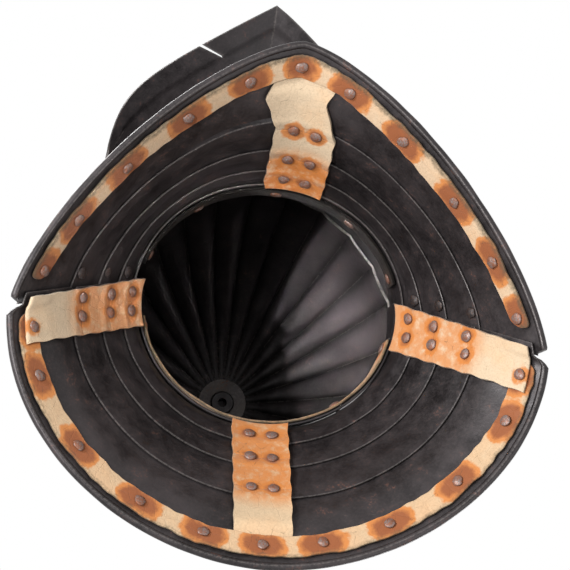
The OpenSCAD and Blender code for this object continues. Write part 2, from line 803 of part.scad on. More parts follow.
module bevor() {
    color(iron)
        difference() {
            intersection() {
                face_plate(bevor_face, [228, 206.5, 188, 170, 155, 143, 131, 119, 107, skull_low_z, neck_z - 1],
                    spread(-100, 100, 34));
                side_view()
                    bevor_mask();
            }
            temple_holes(skull_half_w + 10);
            chin_rivet_places()
                cylinder(h = 20, r = rivet_r + hole_play, center = true, $fn = 24);
            for (u = breath_u)
                for (z = breath_z)
                    on(bevor_face(u, level - z), normal_at(bevor_face, u, level - z, 0.5))
                        cylinder(h = 12, r = 1.6, center = true, $fn = 16);
            stud_hole(bevor_hook_p, bevor_hook_n, bevor_stud_p);
            on(visor_hook_p, visor_hook_n)
                cylinder(h = 16, r = rivet_r + hole_play, center = true, $fn = 24);
        }
}

module sight() {
    mid = visor_front[2][1] + 20;
    for (x = [12 + sight_h / 2, 12 + sight_w - sight_h / 2])
        translate([x, -mid, sight_z])
            rotate([-90, 0, 0])
                cylinder(h = mid - 50, r = sight_h / 2, $fn = 24);
    translate([12 + sight_h / 2, -mid, sight_z - sight_h / 2])
        cube([sight_w - sight_h, mid - 50, sight_h]);
}

module visor() {
    color(iron)
        difference() {
            intersection() {
                face_plate(visor_face, [226, 216, 207, 199, 191, 184, 177, 170, 163, 155],
                    spread(-98, 98, 30));
                side_view()
                    visor_mask();
            }
            temple_holes(skull_half_w + 10);
            both_sides()
                sight();
            on(peg_p, peg_n)
                cylinder(h = 12, r = rivet_r + hole_play, center = true, $fn = 24);
            stud_hole(visor_hook_p, visor_hook_n, visor_stud_p);
        }
}

// Lifting peg at the wearer's right
peg_u = -48;
peg_z = 172;
peg_len = 15;
peg_p = visor_face(peg_u, level - peg_z);
peg_n = normal_at(visor_face, peg_u, level - peg_z, 0.5);
module visor_peg() {
    color(worn)
        on(peg_p, peg_n)
            rotate_extrude($fn = 32)
                polygon([[0, -face_t - 1.1], [rivet_r, -face_t - 1.1], [rivet_r, seat], [4, seat], [4, 1.5],
                    [2.2, 2.6], [2, peg_len - 6], [3, peg_len - 4.8], [3.6, peg_len - 3], [3, peg_len - 1.1], [0, peg_len]]);
}

// Peak: an upright flange that lies on the visor, and a brim that runs out from its lower edge
peak_root_z = 217;
peak_top_z = 232;
peak_ear_r = ear_r - 1;
function root_z(y) = lerp(peak_root_z, pivot_z - peak_ear_r + 2, clamp((y + 53) / 45, 0, 1));
// The flange leans back over the brow, as the skull does
peak_root = function(u, v)
    let (z = level - v, lean = 0.45 * max(0, z - peak_root_z) * max(0, cos(u)))
    [(skull_half_w + peak_off) * sin(u), skull_mid_y - (skull_front + 17 - lean) * cos(u), z];
brim_corner_u = 62;
brim_end_u = 83;
peak_side_y = peak_root(brim_end_u, level)[1] + 0.5;
function brim_rim(u) =
    let (a = abs(u), s = u < 0 ? -1 : 1, k = min(1, a / brim_corner_u))
    let (x = peak_half_w * side(sin(90 * k), 1.333))
    let (y = -peak_corner - (peak_front - peak_corner) * side(cos(90 * k), 1.333))
    let (z = lerp(peak_tip_z, peak_corner_z, k * k), m = clamp((a - brim_corner_u) / (brim_end_u - brim_corner_u), 0, 1))
    let (e = peak_root(brim_end_u, level), tip = [x, y, z])
    let (end = [e[0] + 3, e[1] - 1, root_z(e[1]) - 3])
    let (p = m == 0 ? tip : lerp([peak_half_w, -peak_corner, peak_corner_z], end, m))
    [s * p[0], p[1], p[2]];
function brim_root(u) = let (p = peak_root(u, level)) [p[0] - sign(u) * face_t / 2 * abs(sin(u)),
    p[1] + face_t / 2 * cos(u), root_z(p[1]) + 1.6];
brim = function(u, v)
    let (a = brim_root(u), b = brim_rim(u))
    lerp(a, b, v) + [0, 0, 2.6 * max(0, 1 - abs(u) / 5) * sin(180 * min(1, 0.15 + 0.75 * v))];
function brim_len(u) = norm(brim_rim(u) - brim_root(u));

// Upper edge of the flange, which falls to the ear's height at the sides
function peak_top(u) = lerp(peak_top_z, pivot_z + peak_ear_r + 1, ease((abs(u) - 52) / 34));
function border_v(u) = 1 - min(0.45, peak_border / brim_len(u));
// Rows from the flange's upper edge to its root, then over the brim and its sunken border
peak_sheet = function(u, row)
    let (past = max(0, abs(u) - brim_end_u), b = border_v(u))
    let (vs = [0, 0.3 * b, 0.65 * b, b - 0.004, b + 0.004 + 1.2 / brim_len(u), 1])
    row == 0 ? peak_root(u, level - peak_top(u))
    : brim_at(u, vs[row - 1], past);
function brim_at(u, v, past) =
    past == 0 ? brim(u, v)
    : let (p = peak_root(u, level)) [p[0], p[1], root_z(p[1]) + 1.6 - 14 * v];
function peak_normal(u, row) = row == 0 ? normal_at(peak_root, u, level - peak_top(u), 0.5)
    : abs(u) > brim_end_u ? normal_at(peak_root, u, level - peak_root_z + 1, 0.5)
    : let (v = row == 1 ? 0 : [0, 0.3, 0.65, border_v(u) - 0.01, border_v(u) + 0.02, 1][row - 1])
        row == 1 ? unit(normal_at(brim, u, 0.02, 0.02) + normal_at(peak_root, u, level - peak_root_z + 1, 0.5))
        : normal_at(brim, u, min(0.97, v), 0.02);

module peak_plate() {
    us = concat([-98, -93, -88, -brim_end_u - 0.3, -brim_end_u, -79, -74], spread(-68, 68, 28),
        [74, 79, brim_end_u, brim_end_u + 0.3, 88, 93, 98]);
    sink = [0, 0, 0, 0, 0, peak_sink, peak_sink];
    grid = function(extra) [for (row = [0:6]) [for (u = us)
        peak_sheet(u, row) - (sink[row] + extra) * peak_normal(u, row)]];
    intersection() {
        plate(grid(0), grid(face_t));
        side_view() {
            translate([-300, 100])
                square([300 + peak_side_y, 200]);
            ear(peak_ear_r);
            polygon([[peak_side_y - 1, root_z(peak_side_y)], [pivot_y, pivot_z - peak_ear_r],
                [pivot_y, pivot_z + peak_ear_r], [peak_side_y - 1, pivot_z + peak_ear_r + 2]]);
        }
    }
}

// Narrow crack through the border near the wearer's right
module crack() {
    hull()
        for (p = [[-47, -184], [-29, -173]])
            translate([p[0], p[1], 140])
                cylinder(h = 60, r = 0.6, $fn = 12);
}

module peak() {
    color(iron)
        difference() {
            peak_plate();
            temple_holes(skull_half_w + 12);
            crack();
        }
}

// Temple bolts: rosette, head, shank and the nut inside the skull
temple_x = skull_half_w + peak_off;
rosette_t = 1.2;
module temple(side_sign) {
    translate([0, pivot_y, pivot_z])
        rotate([0, 90 * side_sign, 0])
            children();
}
module star(r, t, n, rise) {
    difference() {
        rotate_extrude($fn = 64)
            polygon([[stem_shank_r + hole_play, 0], [r, -rise], [r, t * 0.7 - rise], [r * 0.7, t + 0.2 - rise * 0.5],
                [stem_shank_r + hole_play, t]]);
        for (k = [0:n - 1])
            rotate((k + 0.5) * 360 / n)
                translate([r + 0.6, 0, -10])
                    cylinder(h = 20, r = r * 0.16, $fn = 20);
    }
}
module temple_rosette(side_sign) {
    color(worn)
        temple(side_sign)
            translate([0, 0, temple_x + seat])
                difference() {
                    cylinder(h = rosette_t, r = 11, $fn = 64);
                    translate([0, 0, -1])
                        cylinder(h = 4, r = bolt_r + bolt_play, $fn = 48);
                    for (k = [0:9])
                        rotate((k + 0.5) * 36)
                            translate([11.6, 0, -1])
                                cylinder(h = 4, r = 1.9, $fn = 20);
                }
}
module temple_bolt(side_sign) {
    head = temple_x + 2 * seat + rosette_t;
    color(iron)
        temple(side_sign)
            rotate_extrude($fn = 48)
                polygon([[0, skull_half_w - 6.9], [bolt_r - 0.5, skull_half_w - 6.9], [bolt_r, skull_half_w - 6.4], [bolt_r, head],
                    [7, head], [6.6, head + 1.4], [4.6, head + 2.8], [0, head + 3.4]]);
}
module temple_nut(side_sign) {
    color(iron)
        temple(side_sign)
            translate([0, 0, skull_half_w - 5.9])
                difference() {
                    cylinder(h = 2.9, r = 6.6, $fn = 6);
                    translate([0, 0, -1])
                        cylinder(h = 6, r = bolt_r + bolt_play, $fn = 48);
                }
}
module temple_rosette_left() {
    temple_rosette(1);
}
module temple_rosette_right() {
    temple_rosette(-1);
}
module temple_bolt_left() {
    temple_bolt(1);
}
module temple_bolt_right() {
    temple_bolt(-1);
}
module temple_nut_left() {
    temple_nut(1);
}
module temple_nut_right() {
    temple_nut(-1);
}

// Front collar, its lining and its rivets
chin_rivet_u = [-68, -36, 0, 36, 68];
module chin_rivet_places() {
    for (u = chin_rivet_u) {
        p = [(neck_half_w + collar_off) * sin(u), neck_y - (neck_half_len + collar_off) * cos(u), collar_mid];
        on(p, unit([sin(u) / neck_half_w, -cos(u) / neck_half_len, 0]))
            children();
    }
}
chin_depth = lame_t + seat + face_t + 0.5 + lining_t;
module front_neck_lame() {
    color(iron)
        difference() {
            neck_lame(true);
            chin_rivet_places()
                cylinder(h = 20, r = rivet_r + hole_play, center = true, $fn = 24);
            strap_holes(0, true);
            pair_holes(0, hole_play);
        }
}
module front_neck_lining() {
    inset = face_t + 0.5 - collar_seat;
    color(hide)
        difference() {
            lining([neck_half_w - inset, neck_half_len - inset], spread(-72, 72, 16));
            chin_rivet_places()
                cylinder(h = 20, r = rivet_r + hole_play, center = true, $fn = 24);
        }
}
module chin_rivets() {
    color(worn)
        chin_rivet_places()
            rivet(chin_depth);
}

// Finial: dished washer inside, star rosette outside, a turned stem with a hollow lower end, and a ring
stem_shank_r = 4.8;
eye_z = apex_z + 17;
eye_half = 2.2;
ring_tilt = 36;
module at_apex() {
    translate([0, apex_y, apex_z])
        children();
}
module apex_washer() {
    color(iron)
        at_apex()
            rotate_extrude($fn = 64)
                polygon([[stem_shank_r + hole_play, -skull_t - seat - 0.3], [apex_washer_r, -skull_t - seat - 1.8],
                    [apex_washer_r, -skull_t - seat - 3], [stem_shank_r + hole_play, -skull_t - seat - 1.5]]);
}
module finial_rosette() {
    color(worn)
        at_apex()
            translate([0, 0, seat])
                star(rosette_r, 1.3, 12, 0.7);
}
module finial_stem() {
    under = -skull_t - 2 * seat - 1.8;
    over = seat + 1.3 + seat;
    eye = eye_z - apex_z;
    color(iron)
        at_apex()
            difference() {
                union() {
                    rotate_extrude($fn = 48)
                        polygon([[0, under - 2.6], [6.6, under - 2.6], [7.4, under - 1.8], [7.4, under], [stem_shank_r, under],
                            [stem_shank_r, over], [8, over], [8, over + 1], [5, over + 2.6], [3, over + 4.4], [3, over + 5.2],
                            [4.6, over + 6.6], [3.2, over + 8.2], [3, eye - 3], [0, eye - 3]]);
                    translate([-eye_half, 0, eye])
                        rotate([0, 90, 0])
                            cylinder(h = 2 * eye_half, r = 5, $fn = 48);
                }
                translate([-10, 0, eye])
                    rotate([0, 90, 0])
                        cylinder(h = 20, r = ring_wire_r + 0.6, $fn = 32);
                translate([0, 0, under - 3])
                    cylinder(h = 12.4, r = stem_hollow_r, $fn = 40);
            }
}
// The ring's plane holds the eye's axis, and the ring lies back and down from it
module finial_ring() {
    color(worn)
        translate([0, apex_y, eye_z])
            rotate([-ring_tilt, 0, 0])
                translate([0, ring_r, 0])
                    rotate_extrude($fn = 64)
                        translate([ring_r, 0])
                            circle(ring_wire_r, $fn = 24);
}

// Plume tube on its plate at the nape
plume_z = 152;
plume_seat = 0.5;
plume_half_u = 8.6;
plume_half_z = 17;
plume_plate_t = 1.2;
plume_p = skull_pt(180, nape_v(plume_z));
plume_n = normal_at(skull_pt, 180, nape_v(plume_z), 0.01);
plume_lean = 9;
module plume_rivet_places() {
    for (u = [180 - plume_half_u * 0.7, 180 + plume_half_u * 0.7])
        for (z = [plume_z - plume_half_z * 0.72, plume_z + plume_half_z * 0.72])
            on(shifted(skull_pt, u, nape_v(z), 0.01, plume_seat + plume_plate_t), normal_at(skull_pt, u, nape_v(z), 0.01))
                children();
}
module plume_axis() {
    translate(plume_p)
        rotate([90 - acos(plume_n[2]), 0, 0])
            translate([0, plume_seat + plume_plate_t + plume_r + plume_wall - 0.3, -14])
                rotate([-plume_lean, 0, 0])
                    children();
}
module plume_tube() {
    color(iron)
        difference() {
            union() {
                plume_grid();
                plume_axis()
                    cylinder(h = plume_len, r = plume_r + plume_wall, $fn = 48);
                plume_axis()
                    translate([0, 0, plume_len - 2.4])
                        cylinder(h = 2.4, r = plume_r + plume_wall + 0.8, $fn = 48);
            }
            plume_axis()
                translate([0, 0, 2])
                    cylinder(h = plume_len, r = plume_r, $fn = 48);
            plume_rivet_places()
                cylinder(h = 16, r = rivet_r + hole_play, center = true, $fn = 24);
        }
}
module plume_grid() {
    grid = function(extra) [for (z = spread(plume_z + plume_half_z, plume_z - plume_half_z, 4))
        [for (u = spread(180 - plume_half_u, 180 + plume_half_u, 6))
            shifted(skull_pt, u, nape_v(z), 0.01, plume_seat + extra)]];
    plate(grid(plume_plate_t), grid(0));
}
module plume_rivets() {
    color(worn)
        plume_rivet_places()
            rivet(plume_plate_t + plume_seat + skull_t);
}

// Hooks: a swivelling arm whose slot drops over the neck of a stud; at rest it is turned off the stud
hook_open = 60;
arm_t = 1.5;
arm_half = 4.2;
stud_r = 1.5;
module arm_frame(p, n, to) {
    d = to - p;
    e = unit(d - (d * n) * n);
    f = cross(n, e);
    multmatrix([[e[0], f[0], n[0], p[0]], [e[1], f[1], n[1], p[1]], [e[2], f[2], n[2], p[2]]])
        children();
}
function reach_of(p, n, to) = let (d = to - p) norm(d - (d * n) * n);
function height_of(p, n, to) = (to - p) * n;

bevor_hook_u = -110;
bevor_hook_z = 128;
bevor_hook_p = skull_pt(bevor_hook_u, nape_v(bevor_hook_z));
bevor_hook_n = normal_at(skull_pt, bevor_hook_u, nape_v(bevor_hook_z), 0.01);
bevor_stud_p = bevor_face(-88, level - bevor_hook_z);
visor_hook_u = -60;
visor_hook_z = 148;
visor_hook_p = bevor_face(visor_hook_u, level - visor_hook_z);
visor_hook_n = normal_at(bevor_face, visor_hook_u, level - visor_hook_z, 0.5);
visor_stud_p = visor_face(visor_hook_u, level - 168);
// Each arm clears what lies between its pivot and its stud
function lift_over(p, n, pts) = max([arm_t, for (q = pts) height_of(p, n, q)]) + 2 * seat;
bevor_hook_lift = lift_over(bevor_hook_p, bevor_hook_n, [for (u = [-92:-86]) bevor_face(u, level - bevor_hook_z)]);
visor_hook_lift = lift_over(visor_hook_p, visor_hook_n, [for (z = [157:4:173]) visor_face(visor_hook_u, level - z)]);

module hook(p, n, to, lift) {
    len_arm = reach_of(p, n, to);
    color(worn)
        arm_frame(p, n, to)
            rotate([0, 0, hook_open])
                difference() {
                    union() {
                        translate([0, 0, lift])
                            cylinder(h = arm_t, r = arm_half + 0.6, $fn = 40);
                        translate([0, 0, 2 * seat])
                            cylinder(h = lift - seat, r = 3.2, $fn = 40);
                        translate([0, -arm_half * 0.75, lift])
                            cube([len_arm, arm_half * 1.5, arm_t]);
                        translate([len_arm, 0, lift])
                            cylinder(h = arm_t, r = arm_half, $fn = 40);
                    }
                    cylinder(h = 40, r = rivet_r + turn_play, center = true, $fn = 24);
                    translate([len_arm, 0, lift - 1])
                        cylinder(h = 4, r = stud_r + turn_play, $fn = 24);
                    translate([len_arm - stud_r - turn_play, -2 * arm_half, lift - 1])
                        cube([2 * (stud_r + turn_play), 2 * arm_half, 4]);
                }
}
module hook_rivet(p, n, lift, sheet) {
    color(worn)
        on(p, n)
            rotate_extrude($fn = 32)
                polygon([[0, -sheet - seat - 0.8], [rivet_r + 1, -sheet - seat - 0.4], [rivet_r + 1, -sheet - seat],
                    [rivet_r, -sheet - seat], [rivet_r, lift + arm_t + seat], [head_r, lift + arm_t + seat],
                    [head_r * 0.85, lift + arm_t + seat + 0.9], [0, lift + arm_t + seat + 1.5]]);
}
module stud_hole(p, n, to) {
    arm_frame(p, n, to)
        translate([reach_of(p, n, to), 0, height_of(p, n, to)])
            cylinder(h = 8, r = stud_r + hole_play, center = true, $fn = 24);
}
module stud(p, n, to, lift) {
    foot = height_of(p, n, to);
    top = lift + arm_t + seat;
    color(worn)
        arm_frame(p, n, to)
            translate([reach_of(p, n, to), 0, 0])
                rotate_extrude($fn = 32)
                    polygon([[0, foot - 0.7], [stud_r, foot - 0.7], [stud_r, top], [3, top], [2.6, top + 0.9], [0, top + 1.4]]);
}
module bevor_hook() {
    hook(bevor_hook_p, bevor_hook_n, bevor_stud_p, bevor_hook_lift);
}
module bevor_hook_rivet() {
    hook_rivet(bevor_hook_p, bevor_hook_n, bevor_hook_lift, skull_t);
}
module bevor_stud() {
    stud(bevor_hook_p, bevor_hook_n, bevor_stud_p, bevor_hook_lift);
}
module visor_hook() {
    hook(visor_hook_p, visor_hook_n, visor_stud_p, visor_hook_lift);
}
module visor_hook_rivet() {
    hook_rivet(visor_hook_p, visor_hook_n, visor_hook_lift, face_t);
}
module visor_stud() {
    stud(visor_hook_p, visor_hook_n, visor_stud_p, visor_hook_lift);
}

skull();
apex_washer();
finial_rosette();
finial_stem();
finial_ring();
rear_neck_lame();
collar_rivets();
plume_tube();
plume_rivets();
temple_bolt_left();
temple_bolt_right();
temple_rosette_left();
temple_rosette_right();
temple_nut_left();
temple_nut_right();
rear_neck_lining();
front_neck_lining();
bevor();
front_neck_lame();
chin_rivets();
visor();
visor_peg();
peak();
front_lame_3();
front_lame_2();
front_rim_lame();
front_rim_leather();
front_rim_rivets();
rear_lame_3();
rear_lame_2();
rear_rim_lame();
rear_rim_leather();
rear_rim_rivets();
front_centre_strap();
rear_centre_strap();
left_side_strap();
right_side_strap();
front_strap_rivets_neck();
front_strap_rivets_3();
front_strap_rivets_2();
rear_strap_rivets_neck();
rear_strap_rivets_3();
rear_strap_rivets_2();
side_rivets_neck();
side_rivets_3();
side_rivets_2();
bevor_hook();
bevor_hook_rivet();
bevor_stud();
visor_hook();
visor_hook_rivet();
visor_stud();
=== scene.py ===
"""Cuirassier's close helmet: plates, leather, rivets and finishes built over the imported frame.

Lengths in the surface functions are millimetres, as in the part's source; meshes are written in metres.
"""
import json
import math
from functools import partial

import bmesh
import bpy
import numpy as np
from bpy.props import FloatProperty, FloatVectorProperty, PointerProperty
from bpy.types import Operator, Panel, PropertyGroup
from mathutils import Matrix, Vector
from mathutils.kdtree import KDTree

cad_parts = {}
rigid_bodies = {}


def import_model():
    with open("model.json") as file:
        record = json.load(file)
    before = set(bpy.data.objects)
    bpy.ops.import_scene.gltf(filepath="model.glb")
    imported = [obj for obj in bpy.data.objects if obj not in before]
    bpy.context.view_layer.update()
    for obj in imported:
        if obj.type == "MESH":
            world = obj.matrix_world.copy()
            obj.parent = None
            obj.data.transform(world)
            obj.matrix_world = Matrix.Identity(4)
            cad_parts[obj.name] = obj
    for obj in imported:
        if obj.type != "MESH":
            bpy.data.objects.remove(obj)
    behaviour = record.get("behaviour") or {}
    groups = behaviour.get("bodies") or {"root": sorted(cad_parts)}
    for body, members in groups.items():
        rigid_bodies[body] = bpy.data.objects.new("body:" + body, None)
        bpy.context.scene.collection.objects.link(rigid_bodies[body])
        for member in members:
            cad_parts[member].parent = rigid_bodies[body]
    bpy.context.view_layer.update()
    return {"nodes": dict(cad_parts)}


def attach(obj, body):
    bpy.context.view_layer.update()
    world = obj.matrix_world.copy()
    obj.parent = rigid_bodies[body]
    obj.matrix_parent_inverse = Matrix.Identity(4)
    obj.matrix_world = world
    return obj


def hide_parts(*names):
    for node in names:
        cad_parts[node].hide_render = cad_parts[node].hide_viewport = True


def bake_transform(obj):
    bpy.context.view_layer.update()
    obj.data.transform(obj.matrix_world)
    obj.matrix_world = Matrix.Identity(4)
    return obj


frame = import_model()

bl_info = {
    "name": "Cuirassier helmet",
    "version": (1, 0, 0),
    "blender": (4, 5, 0),
    "location": "View3D > Sidebar > Helmet",
    "description": "Dresses the frame of a close helmet with hammered plates, leather and rivets",
    "category": "Object",
}

MM = 0.001


def srgb(hex_code):
    """Linear colour of an sRGB hex code."""
    parts = [int(hex_code[i:i + 2], 16) / 255 for i in (0, 2, 4)]
    return tuple(c / 12.92 if c <= 0.04045 else ((c + 0.055) / 1.055) ** 2.4 for c in parts)


# Sizes of the plates, in millimetres, as the part's source has them
SKULL_HALF_W, SKULL_FRONT, SKULL_BACK = 98.0, 105.0, 121.0
EQUATOR_Z, APEX_Z, APEX_Y = 209.0, 314.0, 18.0
SKULL_T, FLUTES, FLUTE_DEPTH = 1.5, 28, 2.2
BROW_Z, CHEEK_Y, FACE_CORNER_R = 212.0, -18.0, 22.0
NECK_HALF_W, NECK_HALF_LEN, NECK_Y, NECK_Z, COLLAR_H = 74.0, 68.0, -8.0, 78.0, 16.0
RIM_HALF_W, RIM_FRONT, RIM_BACK, RIM_WIDE_Y = 142.0, 139.5, 139.5, 18.0
LAME_T, LAME_GAP, LAME_LAP = 1.1, 0.5, 8.4
SHOW_TOP, SHOW_UPPER, SHOW_LOWER = 17.0, 20.0, 25.0
ROLL_R, SPRUNG_DROP, SET_STEP = 2.1, 10.8, 2.0
BAND_W, BAND_T, BAND_INSET = 12.5, 1.6, 5.0
STRAP_W, STRAP_LEAN, STRAP_T = 29.0, 7.8, 2.0
LINING_T, LINING_H = 1.4, 15.0
RIVET_R, HEAD_R, HEAD_H, ROVE_R, ROVE_T = 1.5, 3.3, 1.5, 3.3, 0.8
PIVOT_Y, PIVOT_Z, FACE_T, FACE_GAP, EAR_R = 5.0, 207.0, 1.3, 0.7, 15.0
PEAK_FRONT, PEAK_TIP_Z, PEAK_HALF_W, PEAK_CORNER, PEAK_CORNER_Z = 207.0, 172.0, 93.0, 112.0, 192.0
PEAK_BORDER, PEAK_SINK = 13.0, 0.8
SIGHT_W, SIGHT_H, SIGHT_Z = 46.0, 6.0, 186.0
SEAT = 0.3
FRONT_SHARP, BACK_SHARP = 1.408, 1.05
SKULL_MID_Y = (SKULL_BACK - SKULL_FRONT) / 2
SKULL_HALF_LEN = (SKULL_BACK + SKULL_FRONT) / 2
SKULL_LOW_Z = NECK_Z + COLLAR_H + 1
SKULL_FOOT_Z = NECK_Z + 2
SLANT = math.hypot(RIM_HALF_W - NECK_HALF_W, NECK_Z)
LAP = LAME_LAP / SLANT
S_TOP = SHOW_TOP / SLANT
S_UPPER = S_TOP + SHOW_UPPER / SLANT
S_LOWER = S_UPPER + SHOW_LOWER / SLANT
HALF_PITCH = (LAME_T + LAME_GAP) / 2
FRONT_END, REAR_END, PIVOT_U, STRAP_U = 88.0, 83.0, 78.5, 91.0
ROLL_END_FRONT, ROLL_END_REAR = 87.0, 88.5
BAND_END_FRONT, BAND_END_REAR, BAND_SEAT = 79.0, 92.0, 0.45
STRAP_SEAT = 0.2
WEAR_REACH, WEAR_FOLD = 1.5, 42.0
STRAP_CLEAR = HALF_PITCH + LAME_T + SEAT + STRAP_SEAT
STRAP_END = S_LOWER + 0.18
RIM_TOP = S_LOWER - LAP
LEVEL = 260.0  # Height from which the rows of the bevor and the visor are counted down
CUTTER_REACH = 200.0
# Faces that meet at more than so many degrees keep a crisp edge between them
PLATE_FOLD, LEATHER_FOLD, RIVET_FOLD = 38.0, 50.0, 55.0

# Bodies that carry the plates of the neck guard, from the neck to the rim
BODIES = {True: ("bevor_body", "front_lame_3_body", "front_lame_2_body", "front_rim_body"),
          False: ("skull_body", "rear_lame_3_body", "rear_lame_2_body", "rear_rim_body")}


# Small helpers on arrays; angles are in degrees
def sind(a):
    return np.sin(np.radians(a))


def cosd(a):
    return np.cos(np.radians(a))


def lerp(a, b, k):
    return a + (b - a) * k


def ease(k):
    return 0.5 - 0.5 * np.cos(np.pi * np.clip(k, 0, 1))


def power(v, p):
    return np.sign(v) * np.abs(v) ** p


def stack(x, y, z):
    return np.stack(np.broadcast_arrays(x, y, z), -1).astype(float)


def unit(v):
    return v / np.maximum(np.linalg.norm(v, axis=-1, keepdims=True), 1e-9)


def normal_at(surface, u, v, dv):
    """Outward normal of a surface whose u runs to the wearer's left and whose v runs down."""
    return unit(np.cross(surface(u, v + dv) - surface(u, v - dv), surface(u + 1, v) - surface(u - 1, v)))


def grid_normals(grid):
    return unit(np.cross(np.gradient(grid, axis=0), np.gradient(grid, axis=1)))


def ripple(points, wave, seed):
    """Smooth unevenness between about -1 and 1 at each point: a sum of waves about so many mm long."""
    rng = np.random.default_rng(seed)
    total = np.zeros(points.shape[:-1])
    for _ in range(9):
        direction = unit(rng.normal(size=3)) / (wave * rng.uniform(0.6, 1.7))
        total += np.sin(2 * np.pi * points @ direction + rng.uniform(0, 2 * np.pi))
    return total / 4


def graded(length, step, edge=(0, 0.4, 1.0, 2.0, 3.6)):
    """Shares from 0 to 1 along a length in mm, close together at both ends."""
    inner = np.linspace(edge[-1], length - edge[-1], max(2, int((length - 2 * edge[-1]) / step)))
    places = np.concatenate([edge[:-1], inner, length - np.array(edge[:-1])[::-1]])
    return places / length


# Surfaces
def neck_plan(u, out=0.0):
    """The neck's outline seen from above, so many mm outside it."""
    return (NECK_HALF_W + out) * sind(u), NECK_Y - (NECK_HALF_LEN + out) * cosd(u)


def rim_plan(u):
    c, front = cosd(u), cosd(u) > 0
    x = RIM_HALF_W * np.where(front, power(sind(u), FRONT_SHARP), power(sind(u), BACK_SHARP))
    y_front = RIM_WIDE_Y - (RIM_FRONT + RIM_WIDE_Y) * np.abs(c) ** FRONT_SHARP
    y_back = RIM_WIDE_Y + (RIM_BACK - RIM_WIDE_Y) * np.abs(c) ** BACK_SHARP
    return x, np.where(front, y_front, y_back)


def guard(u, s):
    """Middle surface of the neck guard: s runs from 0 at the neck to 1 at the rim."""
    u, s = np.broadcast_arrays(np.asarray(u, float), np.asarray(s, float))
    flare = 0.1 + 0.25 * np.maximum(0, cosd(u)) ** 2
    k = (1 - flare) * s + flare * s ** 4
    (nx, ny), (rx, ry) = neck_plan(u), rim_plan(u)
    return stack(lerp(nx, rx, k), lerp(ny, ry, k), lerp(NECK_Z, ROLL_R, s))


def guard_n(u, s):
    return normal_at(guard, u, s, 0.01)


def guard_at(u, s, d):
    u, s = np.broadcast_arrays(np.asarray(u, float), np.asarray(s, float))
    return guard(u, s) + np.asarray(d)[..., None] * guard_n(u, s)


def from_front(u):
    u = np.asarray(u, float)
    return np.abs(np.where(u > 180, u - 360, u))


def set_shift(front):
    return SET_STEP if front else -SET_STEP


def corner_cut(u, front):
    past = (from_front(u) - PIVOT_U - 4) / 5 if front else (STRAP_U - 3 - from_front(u)) / 5
    return LAP * np.clip(past, 0, 1)


def lame_rise(s, top, bottom):
    return HALF_PITCH * (1 - 2 * np.clip((s - top - LAP) / max(0.02, bottom - top - 2 * LAP), 0, 1))


def rim_slope(u):
    return np.linalg.norm(guard(u, 0.98) - guard(u, 0.88), axis=-1) / 0.1


def s_from_rim(u, d):
    return 1 - d / rim_slope(u)


def roll_at(u, front):
    past = (ROLL_END_FRONT - from_front(u)) / 3 if front else (from_front(u) - ROLL_END_REAR) / 3
    return np.clip(past, 0, 1)


def rim_last(u, front):
    return lerp(s_from_rim(u, 3 * ROLL_R), s_from_rim(u, 0), roll_at(u, front))


def sprung(u, front):
    """The front rim plate stands away from the plate above it on the wearer's right."""
    if not front:
        return np.zeros_like(np.asarray(u, float))
    k = np.where(u > -8, ease((12 - u) / 20), ease((u + 60) / 34))
    return SPRUNG_DROP / SLANT * np.where((u > 12) | (u < -60), 0, k)


def rim_face_at(u, s, front):
    """Height of the rim plate's outer face over the middle surface."""
    shift = set_shift(front) * (1 - ease((s - 0.7) / 0.3) * roll_at(u, front))
    third = lerp(S_LOWER, 1, 0.3)
    high = np.clip((third - s) / (third - S_LOWER), 0, 1) * HALF_PITCH
    low = LAME_T / 2 - HALF_PITCH / 2 * np.clip((rim_last(u, front) - s) / 0.08, 0, 1)
    return shift + np.where(s < third, high, low * np.clip((s - third) / 0.1, 0, 1))


def band_s(u):
    return s_from_rim(u, BAND_INSET + BAND_W / 2)


def u_for_x(x, s, front):
    """Angle at which the guard at s lies x to the wearer's left of the medial line."""
    x, s = np.broadcast_arrays(np.asarray(x, float), np.asarray(s, float))
    lo, hi = np.zeros_like(x), np.full_like(x, 90.0)
    turn = (lambda a: a) if front else (lambda a: 180 - a)
    for _ in range(24):
        mid = (lo + hi) / 2
        below = guard(turn(mid), s)[..., 0] < np.abs(x)
        lo, hi = np.where(below, mid, lo), np.where(below, hi, mid)
    angle = np.sign(x) * lo
    return angle if front else 180 - angle


def strap_x(s, front):
    return STRAP_LEAN * np.clip((STRAP_END - s) / 0.2, 0, 1) if front else np.zeros_like(s)


def strap_side_u(s, d):
    step = np.linalg.norm(guard(STRAP_U + 0.5, s) - guard(STRAP_U - 0.5, s), axis=-1)
    return STRAP_U + d / step


def edge_s(i):
    return (S_TOP, S_UPPER, S_LOWER)[i] - LAP * 0.42


def skull_side(u, z):
    k = ease((EQUATOR_Z - z) / (EQUATOR_Z - SKULL_LOW_Z))
    play = LAME_T + SEAT
    x = lerp(SKULL_HALF_W * sind(u), (NECK_HALF_W - play) * sind(u), k)
    y = lerp(SKULL_MID_Y - SKULL_HALF_LEN * cosd(u), NECK_Y - (NECK_HALF_LEN - play) * cosd(u), k)
    return stack(x, y, z)


def skull_pt(u, v):
    u, v = np.broadcast_arrays(np.asarray(u, float), np.asarray(v, float))
    k, x0, y0 = sind(90 * v), SKULL_HALF_W * sind(u), SKULL_MID_Y - SKULL_HALF_LEN * cosd(u)
    dome = stack(x0 * k, APEX_Y + (y0 - APEX_Y) * k, EQUATOR_Z + (APEX_Z - EQUATOR_Z) * cosd(90 * v))
    return np.where((v <= 1)[..., None], dome, skull_side(u, lerp(EQUATOR_Z, SKULL_LOW_Z, v - 1)))


def nape_v(z):
    return 1 + (EQUATOR_Z - z) / (EQUATOR_Z - SKULL_LOW_Z)


